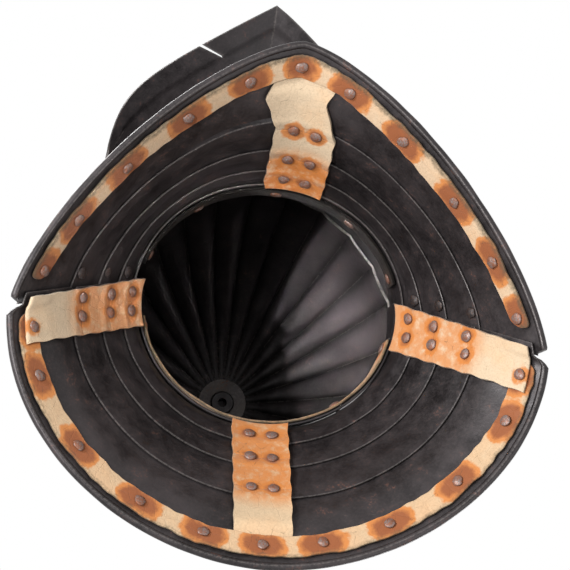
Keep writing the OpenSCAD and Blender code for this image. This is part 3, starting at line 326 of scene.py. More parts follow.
def skull_x(z):
    dome = SKULL_HALF_W * np.sqrt(np.clip(1 - ((z - EQUATOR_Z) / (APEX_Z - EQUATOR_Z)) ** 2, 0, 1))
    return np.where(z <= EQUATOR_Z, skull_side(90.0, z)[..., 0], dome)


BEVOR_OFF = FACE_GAP + FACE_T + 0.25
VISOR_OFF = BEVOR_OFF + FACE_GAP + FACE_T
PEAK_OFF = VISOR_OFF + FACE_GAP + FACE_T
COLLAR_OFF = SET_STEP * 1.7
COLLAR_SEAT = COLLAR_OFF - LAME_T - SEAT
CHIN = np.array([(SKULL_LOW_Z, NECK_HALF_LEN + COLLAR_SEAT - NECK_Y), (107, 91), (117, 100), (128, 106), (142, 109.5),
                 (156, 110), (170, 108.5), (190, 107), (224, 106)], float)
VISOR_FRONT = np.array([(156, 114.5), (165, 116), (178, 117.5), (190, 117.5), (204, 115), (218, 110.5),
                        (228, 107)], float)


def profile(z, table):
    """Reach at a height, rounded over the corners of the table."""
    spread = [np.interp(z + d, table[:, 0], table[:, 1]) for d in (-5, -2.5, 0, 2.5, 5)]
    return sum(spread) / len(spread)


def bevor_face(u, v):
    z = LEVEL - np.asarray(v, float)
    w = ease((z - CHIN[0, 0]) / 36)
    half = skull_x(z) + lerp(COLLAR_SEAT + 1.4, BEVOR_OFF, ease((z - CHIN[0, 0]) / 75))
    mid = lerp(NECK_Y, SKULL_MID_Y, w)
    reach = np.where(z < CHIN[0, 0] + 3, np.interp(z, CHIN[:, 0], CHIN[:, 1]), profile(z, CHIN))
    return stack(half * power(sind(u), lerp(1, 1.1, w)), mid - (reach + mid) * cosd(u), z)


def visor_face(u, v):
    z = LEVEL - np.asarray(v, float)
    reach = profile(z, VISOR_FRONT)
    return stack((skull_x(z) + VISOR_OFF) * power(sind(u), 1.1),
                 SKULL_MID_Y - (reach + SKULL_MID_Y) * power(cosd(u), 1.06), z)


# Peak: an upright flange and a brim with a sunken border
PEAK_ROOT_Z, PEAK_TOP_Z, PEAK_EAR_R = 217.0, 232.0, EAR_R - 1
BRIM_CORNER_U, BRIM_END_U = 62.0, 83.0


def root_z(y):
    return lerp(PEAK_ROOT_Z, PIVOT_Z - PEAK_EAR_R + 2, np.clip((y + 53) / 45, 0, 1))


def peak_root(u, z):
    lean = 0.45 * np.maximum(0, z - PEAK_ROOT_Z) * np.maximum(0, cosd(u))
    return stack((SKULL_HALF_W + PEAK_OFF) * sind(u), SKULL_MID_Y - (SKULL_FRONT + 17 - lean) * cosd(u), z)


def brim_rim(u):
    """Rim of the brim; the photographed one is bent, straighter on the wearer's left than on the right."""
    a, way = np.abs(u), np.where(u < 0, -1.0, 1.0)
    k = np.minimum(1, a / BRIM_CORNER_U)
    pull = np.where(u < 0, 2.2, 0.4)
    shares = np.stack([(1 - k) ** 2, 2 * pull * k * (1 - k), k * k], -1)
    shares /= shares.sum(-1, keepdims=True)
    corner = np.array([PEAK_HALF_W, -PEAK_CORNER, PEAK_CORNER_Z])
    p = shares @ np.array([(0, -PEAK_FRONT, PEAK_TIP_Z), (PEAK_HALF_W * 0.95, -150.0, 180.0), corner])
    e = peak_root(BRIM_END_U, 0.0)
    end = np.array([e[0] + 3, e[1] - 1, root_z(e[1]) - 3])
    m = np.clip((a - BRIM_CORNER_U) / (BRIM_END_U - BRIM_CORNER_U), 0, 1)[..., None]
    p = np.where(m == 0, p, lerp(corner, end, m))
    return p * np.stack([way, np.ones_like(a), np.ones_like(a)], -1)


def brim_root(u):
    p = peak_root(u, 0.0)
    return stack(p[..., 0] - np.sign(u) * FACE_T / 2 * np.abs(sind(u)), p[..., 1] + FACE_T / 2 * cosd(u),
                 root_z(p[..., 1]) + 1.6)


def brim(u, v):
    lift = 2.6 * np.maximum(0, 1 - np.abs(u) / 5) * sind(180 * np.minimum(1, 0.15 + 0.75 * v))
    return lerp(brim_root(u), brim_rim(u), v[..., None]) + lift[..., None] * np.array([0, 0, 1.0])


# Mesh building
def write_mesh(name, points, faces, material):
    mesh = bpy.data.meshes.new(name)
    mesh.from_pydata((np.asarray(points) * MM).tolist(), [], faces)
    mesh.validate()
    obj = bpy.data.objects.new(name, mesh)
    bpy.context.scene.collection.objects.link(obj)
    if material:
        mesh.materials.append(material)
    return obj


def face_outwards(obj):
    bm = bmesh.new()
    bm.from_mesh(obj.data)
    bmesh.ops.recalc_face_normals(bm, faces=bm.faces)
    if bm.calc_volume(signed=True) < 0:
        bmesh.ops.reverse_faces(bm, faces=bm.faces)
    bm.to_mesh(obj.data)
    bm.free()


def shade(obj, fold):
    """Smooth shading, crisp where faces meet at more than so many degrees."""
    obj.data.shade_smooth()
    obj.data.set_sharp_from_angle(angle=math.radians(fold))


def evaluated_mesh(obj):
    return bpy.data.meshes.new_from_object(obj.evaluated_get(bpy.context.evaluated_depsgraph_get()))


def sheet(name, outer, thickness, material, ring=False, roll=None):
    """Closed plate below a grid of outer points, with rounded long edges; roll gives the bead's loops."""
    normals = grid_normals(outer) if not ring else grid_normals(
        np.concatenate([outer[:, -2:], outer, outer[:, :2]], 1))[:, 2:-2]
    depth = np.broadcast_to(np.asarray(thickness, float), (len(outer),))
    inner = outer - depth[:, None, None] * normals

    def cap(row, next_row, k):
        out = unit(outer[row] - outer[next_row])
        return lerp(outer[row], inner[row], k) + out * depth[row] * 0.3

    foot = roll if roll is not None else [cap(-1, -2, 0.22), cap(-1, -2, 0.78)]
    loops = [cap(0, 1, 0.22), *outer, *foot, *inner[::-1], cap(0, 1, 0.78)]
    count, cols = len(loops), outer.shape[1]
    last = cols if ring else cols - 1

    def at(k, j):
        return (k % count) * cols + j % cols

    faces = [(at(k, j), at(k + 1, j), at(k + 1, j + 1), at(k, j + 1)) for k in range(count) for j in range(last)]
    if not ring:
        for j in (0, cols - 1):
            faces += [(at(k, j), at(k + 1, j), at(count - 2 - k, j), at(count - 1 - k, j))
                      for k in range(count // 2 - 1)]
    obj = write_mesh(name, np.concatenate(loops), faces, material)
    face_outwards(obj)
    return obj


def prism(outline, low, high, axis):
    """Closed prism on an outline of (a, b) points, carried along x, y or z."""
    place = {"x": lambda a, b, t: (t, a, b), "y": lambda a, b, t: (a, t, b), "z": lambda a, b, t: (a, b, t)}[axis]
    n = len(outline)
    points = [place(a, b, t) for t in (low, high) for a, b in outline]
    faces = [tuple(range(n)), tuple(range(2 * n - 1, n - 1, -1))]
    faces += [(i, n + i, n + (i + 1) % n, (i + 1) % n) for i in range(n)]
    obj = write_mesh("cutter", points, faces, None)
    face_outwards(obj)
    return obj


def circle(cx, cy, r, n=64):
    return [(cx + r * math.cos(2 * math.pi * k / n), cy + r * math.sin(2 * math.pi * k / n)) for k in range(n)]


def across(outline):
    """Cutter with an outline seen from the side, which reaches right across the helmet."""
    return prism(outline, -CUTTER_REACH, CUTTER_REACH, "x")


def carve(obj, cutter, operation="DIFFERENCE"):
    modifier = obj.modifiers.new("cut", "BOOLEAN")
    modifier.object, modifier.operation, modifier.solver = cutter, operation, "MANIFOLD"
    mesh = evaluated_mesh(obj)
    if not mesh.polygons:
        raise RuntimeError(f"cutting {obj.name} left nothing")
    obj.modifiers.clear()
    obj.data = mesh
    bpy.data.objects.remove(cutter)


def set_attribute(obj, name, values):
    layer = obj.data.attributes.new(name, "FLOAT", "POINT")
    layer.data.foreach_set("value", np.asarray(values, np.float32))


def mesh_points(obj):
    points = np.empty(len(obj.data.vertices) * 3)
    obj.data.vertices.foreach_get("co", points)
    return points.reshape(-1, 3) / MM


def nearness(points, places, reach):
    """1 at the places, falling to 0 at reach mm from the nearest one."""
    tree = KDTree(len(places))
    for i, p in enumerate(places):
        tree.insert(p, i)
    tree.balance()
    away = np.array([tree.find(p)[2] for p in points])
    return np.clip(1 - away / reach, 0, 1)


def finish_plate(obj, reach=WEAR_REACH, fold=WEAR_FOLD, worn=()):
    """Smooth shading with crisp edges, and wear that grows towards every edge folded by more than so many
    degrees, and round the worn places given; along the rim's roll these are painted highlight lines as well as wear."""
    bm = bmesh.new()
    bm.from_mesh(obj.data)
    bmesh.ops.remove_doubles(bm, verts=bm.verts, dist=1e-6)
    places = list(worn)
    for edge in bm.edges:
        if len(edge.link_faces) == 2 and edge.calc_face_angle(0) > math.radians(fold):
            a, b = (np.array(v.co) / MM for v in edge.verts)
            steps = max(1, int(np.linalg.norm(b - a)))
            places += [lerp(a, b, k / steps) for k in range(steps + 1)]
    bm.to_mesh(obj.data)
    bm.free()
    set_attribute(obj, "wear", nearness(mesh_points(obj), places, reach))
    shade(obj, PLATE_FOLD)


# Materials
# Kinds of node: type, settings, the inputs that values are given to in order, and the output that is handed on
NOISE = ("ShaderNodeTexNoise", {"noise_dimensions": "4D"}, ("Vector", "Scale", "Detail", "Roughness", "W"), "Fac")
CELLS = ("ShaderNodeTexVoronoi", {"feature": "DISTANCE_TO_EDGE"}, ("Vector", "Scale"), "Distance")
MAPPING = ("ShaderNodeMapping", {}, ("Vector", "Rotation", "Scale"), "Vector")
RAMP = ("ShaderNodeMapRange", {"interpolation_type": "SMOOTHSTEP"},
        ("Value", "From Min", "From Max", "To Min", "To Max"), "Result")
MIX = ("ShaderNodeMix", {"data_type": "RGBA"}, (0, 6, 7), 2)
TIMES, PLUS, MINUS, LARGER = (("ShaderNodeMath", {"operation": operation}, (0, 1), 0)
                              for operation in ("MULTIPLY", "ADD", "SUBTRACT", "MAXIMUM"))
PAINTED = ("ShaderNodeAttribute", {}, (), "Fac")
BUMP = ("ShaderNodeBump", {}, ("Height", "Distance", "Normal"), "Normal")
SHADER = ("ShaderNodeBsdfPrincipled", {},
          ("Base Color", "Roughness", "Normal", "Metallic", "Specular IOR Level", "Sheen Weight"), "BSDF")
MIX_SHADER = ("ShaderNodeMixShader", {}, (0, 1, 2), 0)
MATERIAL_OUTPUT = ("ShaderNodeOutputMaterial", {}, ("Surface",), None)


def add_node(tree, kind, *values, **settings):
    """Adds a node, sets or links its inputs in order (None leaves one alone) and gives its output, or else the node."""
    type_name, fixed, sockets, output = kind
    node = tree.nodes.new(type_name)
    for key, value in {**fixed, **settings}.items():
        setattr(node, key, value)
    for key, value in zip(sockets, values):
        if isinstance(value, bpy.types.NodeSocket):
            tree.links.new(value, node.inputs[key])
        elif value is not None:
            node.inputs[key].default_value = value
    return node if output is None else node.outputs[output]


def empty_tree(owner):
    owner.use_nodes = True
    owner.node_tree.nodes.clear()
    return partial(add_node, owner.node_tree)


def per(size_mm):
    """Scale of a pattern whose blotches are about so many mm across."""
    return 1 / (size_mm * MM)


def new_material(name):
    material = bpy.data.materials.new(name)
    node = empty_tree(material)
    return material, node, node(("ShaderNodeTexCoord", {}, (), "Object"))


def finish_material(material, node, colour, rough, layers, *others):
    """Joins the colour, the roughness and layers of relief, as (height, depth in mm), to one shader."""
    normal = None
    for height, depth in layers:
        normal = node(BUMP, height, depth * MM, normal)
    node(MATERIAL_OUTPUT, node(SHADER, colour, rough, normal, *others))
    return material


def iron_material(name, dark, pale, rust, worn, gloss, rust_share, edge_share):
    """Forge-blackened iron: a dark skin with brown blotches, rust specks, and metal that shows at worn edges."""
    material, node, coords = new_material(name)
    broad, blotch, speck, pits = (node(NOISE, coords, per(size), *shape) for size, *shape in (
        (55, 3, 0.55, 0.0), (9, 6, 0.62, 2.0), (1.6, 4, 0.6, 5.0), (0.7, 2, 0.5, 7.0)))
    tone = node(RAMP, node(PLUS, node(TIMES, broad, 0.6), node(TIMES, blotch, 0.4)), 0.32, 0.74)
    colour = node(MIX, tone, dark, pale)
    colour = node(MIX, node(RAMP, speck, 0.42, 0.7, 0.0, 0.35), colour, pale)
    spots = node(TIMES, node(RAMP, blotch, 0.54, 0.72), node(RAMP, speck, 0.46, 0.64))
    colour = node(MIX, node(TIMES, spots, rust_share), colour, rust)
    # Painted shade: where its mask is set, in the creases inside the bowl, the colour goes towards black
    painted_crease_shade = (*(channel * 0.12 for channel in dark[:3]), 1.0)
    colour = node(MIX, node(TIMES, node(PAINTED, attribute_name="painted_crease_shade"), 0.9), colour, painted_crease_shade)
    # Long scratches, and edges rubbed bare in patches
    scratched = node(MAPPING, coords, (0.5, 0.9, 0.4), (1.0, 14.0, 1.0))
    scratches = node(RAMP, node(NOISE, scratched, per(9), 3, 0.7, 3.0), 0.68, 0.74)
    edge = node(TIMES, node(PAINTED, attribute_name="wear"), node(RAMP, speck, 0.25, 0.6, 0.45, 1.0))
    bare = node(LARGER, node(RAMP, edge, 0.5, 1.0, 0.0, edge_share), node(TIMES, scratches, 0.2))
    colour = node(MIX, bare, colour, worn)
    rough = node(PLUS, node(RAMP, blotch, 0.3, 0.7, gloss, gloss + 0.2), node(TIMES, speck, 0.12))
    metallic = node(RAMP, spots, 0.1, 0.8, 0.42, 0.15)
    return finish_material(material, node, colour, rough, [(broad, 0.9), (blotch, 0.22), (pits, 0.03)], metallic)


def leather_material(name, pale, tan, stain, rust, dirt, seed, gleam=0.3):
    """Old buff leather: pale grain, tan handling marks, rust halos round the rivets and dark dirt at the edges."""
    material, node, coords = new_material(name)
    broad, blotch, grain, fibre, patchy = (node(NOISE, coords, per(size), *shape) for size, *shape in (
        (24, 4, 0.55, seed), (5, 6, 0.6, seed + 1), (0.9, 3, 0.6, seed + 2), (1.9, 5, 0.7, seed + 3),
        (11, 4, 0.6, seed + 5)))
    colour = node(MIX, node(RAMP, broad, 0.46, 0.74, 0.0, 0.7), pale, tan)
    colour = node(MIX, node(RAMP, grain, 0.35, 0.75, 0.0, 0.18), colour, dirt)
    stained = node(TIMES, node(PAINTED, attribute_name="stain"), node(RAMP, blotch, 0.22, 0.55))
    colour = node(MIX, stained, colour, stain)
    ragged = node(PLUS, node(TIMES, blotch, 0.35), node(TIMES, patchy, 0.65))
    halo = node(PLUS, node(PAINTED, attribute_name="halo"), ragged)
    colour = node(MIX, node(RAMP, halo, 0.76, 0.9, 0.0, 0.9), colour, stain)
    colour = node(MIX, node(RAMP, halo, 0.92, 1.18, 0.0, 0.9), colour, rust)
    edge = node(PLUS, node(PAINTED, attribute_name="soil"), node(TIMES, fibre, 0.6))
    colour = node(MIX, node(RAMP, edge, 0.62, 1.02, 0.0, 0.9), colour, dirt)
    cracks = node(RAMP, node(CELLS, coords, per(7)), 0.0, 0.035, 1.0, 0.0)
    colour = node(MIX, node(TIMES, cracks, node(RAMP, blotch, 0.56, 0.66, 0.0, 0.55)), colour, dirt)
    rough = node(RAMP, blotch, 0.3, 0.7, 0.62, 0.82)
    layers = [(blotch, 0.35), (fibre, 0.12), (grain, 0.06), (cracks, -0.08)]
    return finish_material(material, node, colour, rough, layers, 0.0, gleam, gleam / 2)


def rivet_material(name, top, skirt, rust):
    """Hammered iron rivet: grey-brown top, brown skirt, rust in the hollows."""
    material, node, coords = new_material(name)
    blotch, speck = node(NOISE, coords, per(2.4), 5, 0.6, 1.0), node(NOISE, coords, per(0.8), 3, 0.6, 4.0)
    colour = node(MIX, node(RAMP, blotch, 0.42, 0.62), top, skirt)
    colour = node(MIX, node(RAMP, speck, 0.45, 0.62, 0.0, 0.75), colour, rust)
    rough = node(RAMP, blotch, 0.3, 0.7, 0.36, 0.62)
    return finish_material(material, node, colour, rough, [(blotch, 0.45), (speck, 0.14)], 0.3)


def helmet_material(name):
    """Each finish is made once, from the colours in the panel."""
    if name in bpy.data.materials:
        return bpy.data.materials[name]
    chosen = bpy.context.scene.helmet_colours
    iron, iron_pale, worn, rust, leather, leather_rear, tan, stain, dirt, rivet, skirt = (
        (*getattr(chosen, key), 1.0) for key in ("iron", "iron_pale", "worn", "rust", "leather", "leather_rear",
                                                 "leather_tan", "stain", "dirt", "rivet", "rivet_skirt"))
    # Leather inside the front collar and the rivets at the sides of the front plates, blackened like the iron
    black, black_tan, black_stain, black_rust, black_dirt, rivet_top, rivet_rust = (
        (*srgb(code), 1.0) for code in ("15110F", "1E1916", "2A211C", "3A2A20", "0C0A09", "332F30", "4A3328"))
    make, *values = {
        # Forge black gives large dark surfaces a soft, low shine
        "Blackened iron plate": (iron_material, iron, iron_pale, rust, worn, 0.27, 0.35, 0.22),
        # The bowl is smoother, so its flutes show narrow lights
        "Blackened iron skull": (iron_material, iron, iron_pale, rust, worn, 0.24, 0.2, 0.34),
        # Handled pieces are rubbed bare and grey
        "Worn iron fittings": (iron_material, iron_pale, worn, rust, worn, 0.34, 0.8, 0.9),
        # Buff leather is matt, pale and fibrous
        "Pale buff leather": (leather_material, leather, tan, stain, rust, dirt, 0.0),
        "Tan buff leather": (leather_material, leather_rear, tan, stain, rust, dirt, 11.0),
        "Blackened leather": (leather_material, black, black_tan, black_stain, black_rust, black_dirt, 5.0, 0.08),
        # Rivets are hammered, rusty and half dull
        "Hammered rivet iron": (rivet_material, rivet, skirt, rust),
        "Blackened rivet iron": (rivet_material, rivet_top, iron, rivet_rust),
    }[name]
    return make(name, *values)


# Plates
def plate_columns(front):
    start, stop, arc = (-FRONT_END, FRONT_END, 380.0) if front else (REAR_END, 360 - REAR_END, 470.0)
    return lerp(start, stop, graded(arc, 2.2))


def edge_wave(u, seed, size):
    """Uneven hand-cut edge, in shares of the guard's slope."""
    return size / SLANT * ripple(stack(u * 1.5, seed * 7.0, 0), 26, seed)


def hammered(grid, seed):
    """Hammer marks that fade out in the laps, where the plates run close over each other."""
    height = bpy.context.scene.helmet_sizes.hammer_height / MM
    marks = 0.7 * ripple(grid, 46, seed) + 0.5 * ripple(grid, 17, seed + 1)
    fade = np.sin(np.pi * np.linspace(0, 1, len(grid))) ** 2
    ends = np.clip(6 * np.sin(np.pi * np.linspace(0, 1, grid.shape[1])), 0, 1)
    return grid + (height * fade[:, None] * ends * marks)[..., None] * grid_normals(grid)


def swell(grid, wave, seed):
    """Unevenness in mm that only ever adds to a surface, so that plates keep their gaps."""
    height = bpy.context.scene.helmet_sizes.hammer_height / MM
    return (height * np.clip(0.5 + 0.5 * ripple(grid, wave, seed), 0, 1))[..., None]


def lame_grid(top, bottom, front, seed):
    u = plate_columns(front)
    start = top + corner_cut(u, front) * 1.12 + np.abs(edge_wave(u, seed, 0.3))
    stop = bottom + edge_wave(u, seed + 1, 0.25)
    s = lerp(start, stop, graded((bottom - top) * SLANT * 1.15, 2.4)[:, None])
    return guard_at(u, s, lame_rise(s, top, bottom) + set_shift(front))


def neck_lame_grid(front, seed):
    u = plate_columns(front)
    out = COLLAR_OFF if front else 0.0
    low = set_shift(front) - HALF_PITCH
    collar = [stack(*neck_plan(u, out), NECK_Z + z)
              for z in (COLLAR_H, COLLAR_H - 0.4, COLLAR_H - 1, COLLAR_H - 2, 11, 8, 5.5, 3)]
    flare = []
    for share in (0.14, *np.linspace(0.25, 0.86, 6), 0.93, 0.96, 0.98, 1.0):
        s = share * (S_TOP + edge_wave(u, seed, 0.35))
        flare.append(guard_at(u, s, lerp(out, low, np.clip(s / LAP, 0, 1))))
    return np.stack(collar + flare)


def rim_sheet(name, front, seed, material):
    u = plate_columns(front)
    start = RIM_TOP + corner_cut(u, front) * 1.4 + sprung(u, front) + np.abs(edge_wave(u, seed, 0.35))
    last = rim_last(u, front)
    s = lerp(start, last, graded(52, 2.6, (0, 0.4, 1.0, 2.0, 3.2))[:, None])
    outer = hammered(guard_at(u, s, rim_face_at(u, s, front)), seed)
    roll = roll_at(u, front)
    wire = lerp(LAME_T / 2 + 0.02, ROLL_R, roll) * (1 + 0.05 * ripple(outer[-1], 22, seed + 3))
    n = guard_n(u, last)
    down = unit(guard(u, last + 0.01) - guard(u, last - 0.01))
    centre = outer[-1] - n * LAME_T / 2
    begin = np.degrees(np.arcsin(np.clip(LAME_T / 2 / wire, -1, 1))) - 90
    turns = [lerp(begin, 88, k)[:, None] for k in np.linspace(0.06, 1, 8)]
    upper, lower = ([centre + wire[:, None] * (way * cosd(a) * n + sind(a) * down) for a in turns] for way in (1, -1))
    # Two lines along the roll's crest count as worn: bare-metal wear that is also a painted highlight, two thin light
    # lines
    crest_wear_and_highlight = [*lower[4], *upper[6]]
    return sheet(name, outer, LAME_T, material, roll=upper + lower[::-1]), crest_wear_and_highlight


def neck_plates(front):
    material = helmet_material("Blackened iron plate")
    side, seed = ("front", 20) if front else ("rear", 40)
    rim, crest_wear_and_highlight = rim_sheet(f"{side}_rim_plate", front, seed + 8, material)
    grids = (("neck", seed, neck_lame_grid(front, seed)),
             ("upper", seed + 2, lame_grid(S_TOP - LAP, S_UPPER, front, seed + 2)),
             ("lower", seed + 5, lame_grid(S_UPPER - LAP, S_LOWER, front, seed + 5)))
    plates = [sheet(f"{side}_{part}_plate", hammered(grid, marks), LAME_T, material) for part, marks, grid in grids]
    for obj, body, node in zip([*plates, rim], BODIES[front], ("neck_lame", "lame_3", "lame_2", "rim_lame")):
        finish_plate(obj, worn=crest_wear_and_highlight if obj is rim else ())
        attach(obj, body)
        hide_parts(f"{side}_{node}")


# Rivets of the rims, in shares of the half width from the middle outwards, and the angles of the two at the
# back set's ends and of those at the collars
RIM_RIVET_SHARES = {True: (0, 0.197, 0.4225, 0.641, 0.803, 0.9085), False: (0, 0.2254, 0.4718, 0.7183, 0.8873)}
END_RIVET_U = (96.5, 263.5)
COLLAR_RIVET_U = {True: (-68.0, -36.0, 0.0, 36.0, 68.0), False: (104.0, 142.0, 218.0, 256.0)}


def rim_rivet_u(front):
    angles = []
    for share in RIM_RIVET_SHARES[front]:
        u = float(u_for_x(share * RIM_HALF_W, 0.91, front))
        angles += [u] if share == 0 else [u, (-u if front else 360 - u)]
    return np.array([*angles, *(() if front else END_RIVET_U)])


def rim_rivet_places(front):
    u = rim_rivet_u(front)
    s = band_s(u)
    return guard_at(u, s, rim_face_at(u, s, front)), guard_n(u, s)


def leather_strip(name, grid, thickness, material, rivets, stain, soil=None, long_soil=0.0):
    """Leather from a grid of outer points; halo, stain and soil are painted by distance."""
    obj = sheet(name, grid, thickness, helmet_material(material))
    points = mesh_points(obj)
    border = [*grid[0], *grid[-1], *grid[:, 0], *grid[:, -1]]
    soiled = nearness(points, border, 4.0)
    if soil is not None:
        soiled = np.maximum(soiled * 0.7, nearness(points, soil, long_soil))
    set_attribute(obj, "halo", nearness(points, rivets, 14.0))
    set_attribute(obj, "soil", soiled * 0.8)
    set_attribute(obj, "stain", np.full(len(points), stain))
    shade(obj, LEATHER_FOLD)
    return obj


def rim_band(front):
    if front:
        side, start, stop, length, seed, finish, long_soil = (
            "front", -BAND_END_FRONT, BAND_END_FRONT, 420.0, 61, "Pale buff leather", 6.0)
    else:
        side, start, stop, length, seed, finish, long_soil = (
            "rear", BAND_END_REAR, 360 - BAND_END_REAR, 440.0, 62, "Tan buff leather", 4.0)
    k = graded(length, 2.0, (0, 0.5, 1.2, 2.2, 3.4, 4.8, 6.4))
    u = lerp(start, stop, k)
    # Both ends are rounded, and the long edges are cut by hand
    away = np.minimum(k, 1 - k) * length
    narrow = np.sqrt(np.clip(1 - (1 - np.clip(away / 6.5, 0.02, 1)) ** 2, 0, 1))
    wave, fray = 0.5 * ripple(stack(u * 2, 0, 0), 34, seed), 0.45 * ripple(stack(u * 2, 0, 0), 9, 64)
    side_to_side = np.cos(np.linspace(0, np.pi, 12))[:, None]
    d = BAND_INSET + BAND_W / 2 + wave + side_to_side * (BAND_W / 2 * narrow + 0.25 * wave + fray)
    s = s_from_rim(u, d)
    # The leather lies close at the rivets and stands off a little between them
    flat = guard_at(u, s, rim_face_at(u, s, front) - LAME_T - BAND_SEAT)
    pinned = nearness(flat.reshape(-1, 3), rim_rivet_places(front)[0], 9.0).reshape(flat.shape[:2])
    sag = 0.28 * ripple(flat, 19, 63) + 0.35 * (1 - ease(pinned * 1.4)) - 0.2
    grid = flat - sag[..., None] * guard_n(u, s) * 0.8
    # A rust stain is drawn out along the band on both sides of its rivet
    beside = np.concatenate([rim_rivet_u(front) + turn for turn in (-1.9, -0.8, 0.8, 1.9)])
    middle = band_s(beside)
    stained = guard_at(beside, middle, rim_face_at(beside, middle, front) - LAME_T - BAND_SEAT - BAND_T)
    obj = leather_strip(f"{side}_rim_band", grid, BAND_T, finish, stained, 0.12, grid[-1], long_soil)
    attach(obj, f"{side}_rim_body")
    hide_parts(f"{side}_rim_leather")


def neck_lining(front):
    if front:
        side, seed, finish = "front", 71, "Blackened leather"
        u, inset = lerp(-72.0, 72.0, graded(170, 2.0)), FACE_T + 0.5 - COLLAR_SEAT
    else:
        side, seed, finish = "rear", 72, "Tan buff leather"
        u, inset = lerp(100.0, 260.0, graded(190, 2.0)), LAME_T + 2 * SEAT + SKULL_T + 0.5
    frill = 1.1 * ripple(stack(u * 1.2, 0, 0), 18, seed)
    z = lerp(LINING_H + frill * 0.6, -1.2 + frill, graded(LINING_H + 1, 1.6, (0, 0.5, 1.2))[:, None])
    bulge = 0.35 * np.abs(ripple(stack(u, z * 3, 0), 16, seed + 4))
    grid = stack(*neck_plan(u, -inset - bulge), NECK_Z + 2 + z)
    obj = leather_strip(f"{side}_collar_lining", grid, LINING_T, finish, collar_rivet_places(front)[0], 0.45)
    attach(obj, BODIES[front][0])
    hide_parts(f"{side}_neck_lining")


def collar_rivet_places(front):
    u = np.array(COLLAR_RIVET_U[front])
    places = stack(*neck_plan(u, COLLAR_OFF if front else 0.0), NECK_Z + COLLAR_H * 0.62)
    return places, unit(stack(sind(u) / NECK_HALF_W, -cosd(u) / NECK_HALF_LEN, 0))


# Straps: each one's finish, and how strongly and how many mm from the neck its leather is stained
STRAPS = {"front_centre": ("Pale buff leather", 1.0, 30), "rear_centre": ("Tan buff leather", 0.9, 66),
          "left_side": ("Pale buff leather", 0.75, 62), "right_side": ("Pale buff leather", 0.75, 62)}
STRAP_START = 0.03


def strap_end(which):
    """The centre straps end tucked under the rim's band, the side straps near the rolled edge, over the band."""
    u = {"front_centre": 0.0, "rear_centre": 180.0}.get(which, STRAP_U)
    return float(s_from_rim(u, BAND_INSET + BAND_W * 0.6 if which.endswith("centre") else 7.5))


def strap_thickness(which, s):
    """A centre strap is skived thin where it goes under the band."""
    if not which.endswith("centre"):
        return np.full_like(s, STRAP_T)
    return STRAP_T - 1.6 * ease((s - STRAP_END - 0.02) / (strap_end(which) - STRAP_END - 0.05))


def strap_u(which, s, x):
    """Angle round the neck at x mm from a strap's middle line."""
    if which.endswith("centre"):
        front = which == "front_centre"
        return u_for_x(x + strap_x(s, front), s + 0 * x, front)
    u = strap_side_u(s + 0 * x, x + 0.1 * STRAP_W)
    return u if which == "left_side" else 360 - u


def strap_grid(which, s, x):
    """Outer points of a strap: s is a column of guard shares, x a row of distances from its middle line."""
    front, centre = which == "front_centre", which.endswith("centre")
    u = strap_u(which, s, x)
    crease = sum(np.exp(-((s - edge_s(i) - 0.055) * SLANT / 2.2) ** 2) for i in range(3))
    pinned = sum(np.exp(-((s - edge_s(i)) * SLANT / 5) ** 2) for i in range(3))
    edge_lift = 0.35 * (np.abs(x) / (STRAP_W / 2)) ** 4
    sag = 0.25 + 0.55 * crease - 0.3 * pinned + edge_lift
    # Past the lower plate the strap follows the rim plate: under its band, or over it
    below, reach = (0.1, 0.06) if centre else (BAND_SEAT + BAND_T + 0.3, 0.05)
    along = rim_face_at(u, s + 0 * x, front) - LAME_T - below
    deep = lerp(set_shift(front) - STRAP_CLEAR - sag, along, ease((s - STRAP_END - 0.01) / reach))
    grid = guard_at(u, s + 0 * x, deep)
    if centre:
        # Its depth moves a point sideways, so the angle is found again for a strap with straight edges
        widen, aside = (1.08, 2.0) if front else (1.04, 0.0)
        wanted = x * widen + strap_x(s, front) + aside * ease((s - STRAP_END) / 0.12)
        u = u_for_x(2 * wanted - grid[..., 0], s + 0 * x, front)
        grid = guard_at(u, s + 0 * x, deep)
    return grid


def strap_rivet_places(which, i):
    s = np.full(2, edge_s(i))
    x = np.array([-6.4, 6.4] if which.endswith("centre") else [-0.24 * STRAP_W, 0.16 * STRAP_W])
    u = strap_u(which, s, x)
    return guard_at(u, s, set_shift(which == "front_centre") - HALF_PITCH), guard_n(u, s)


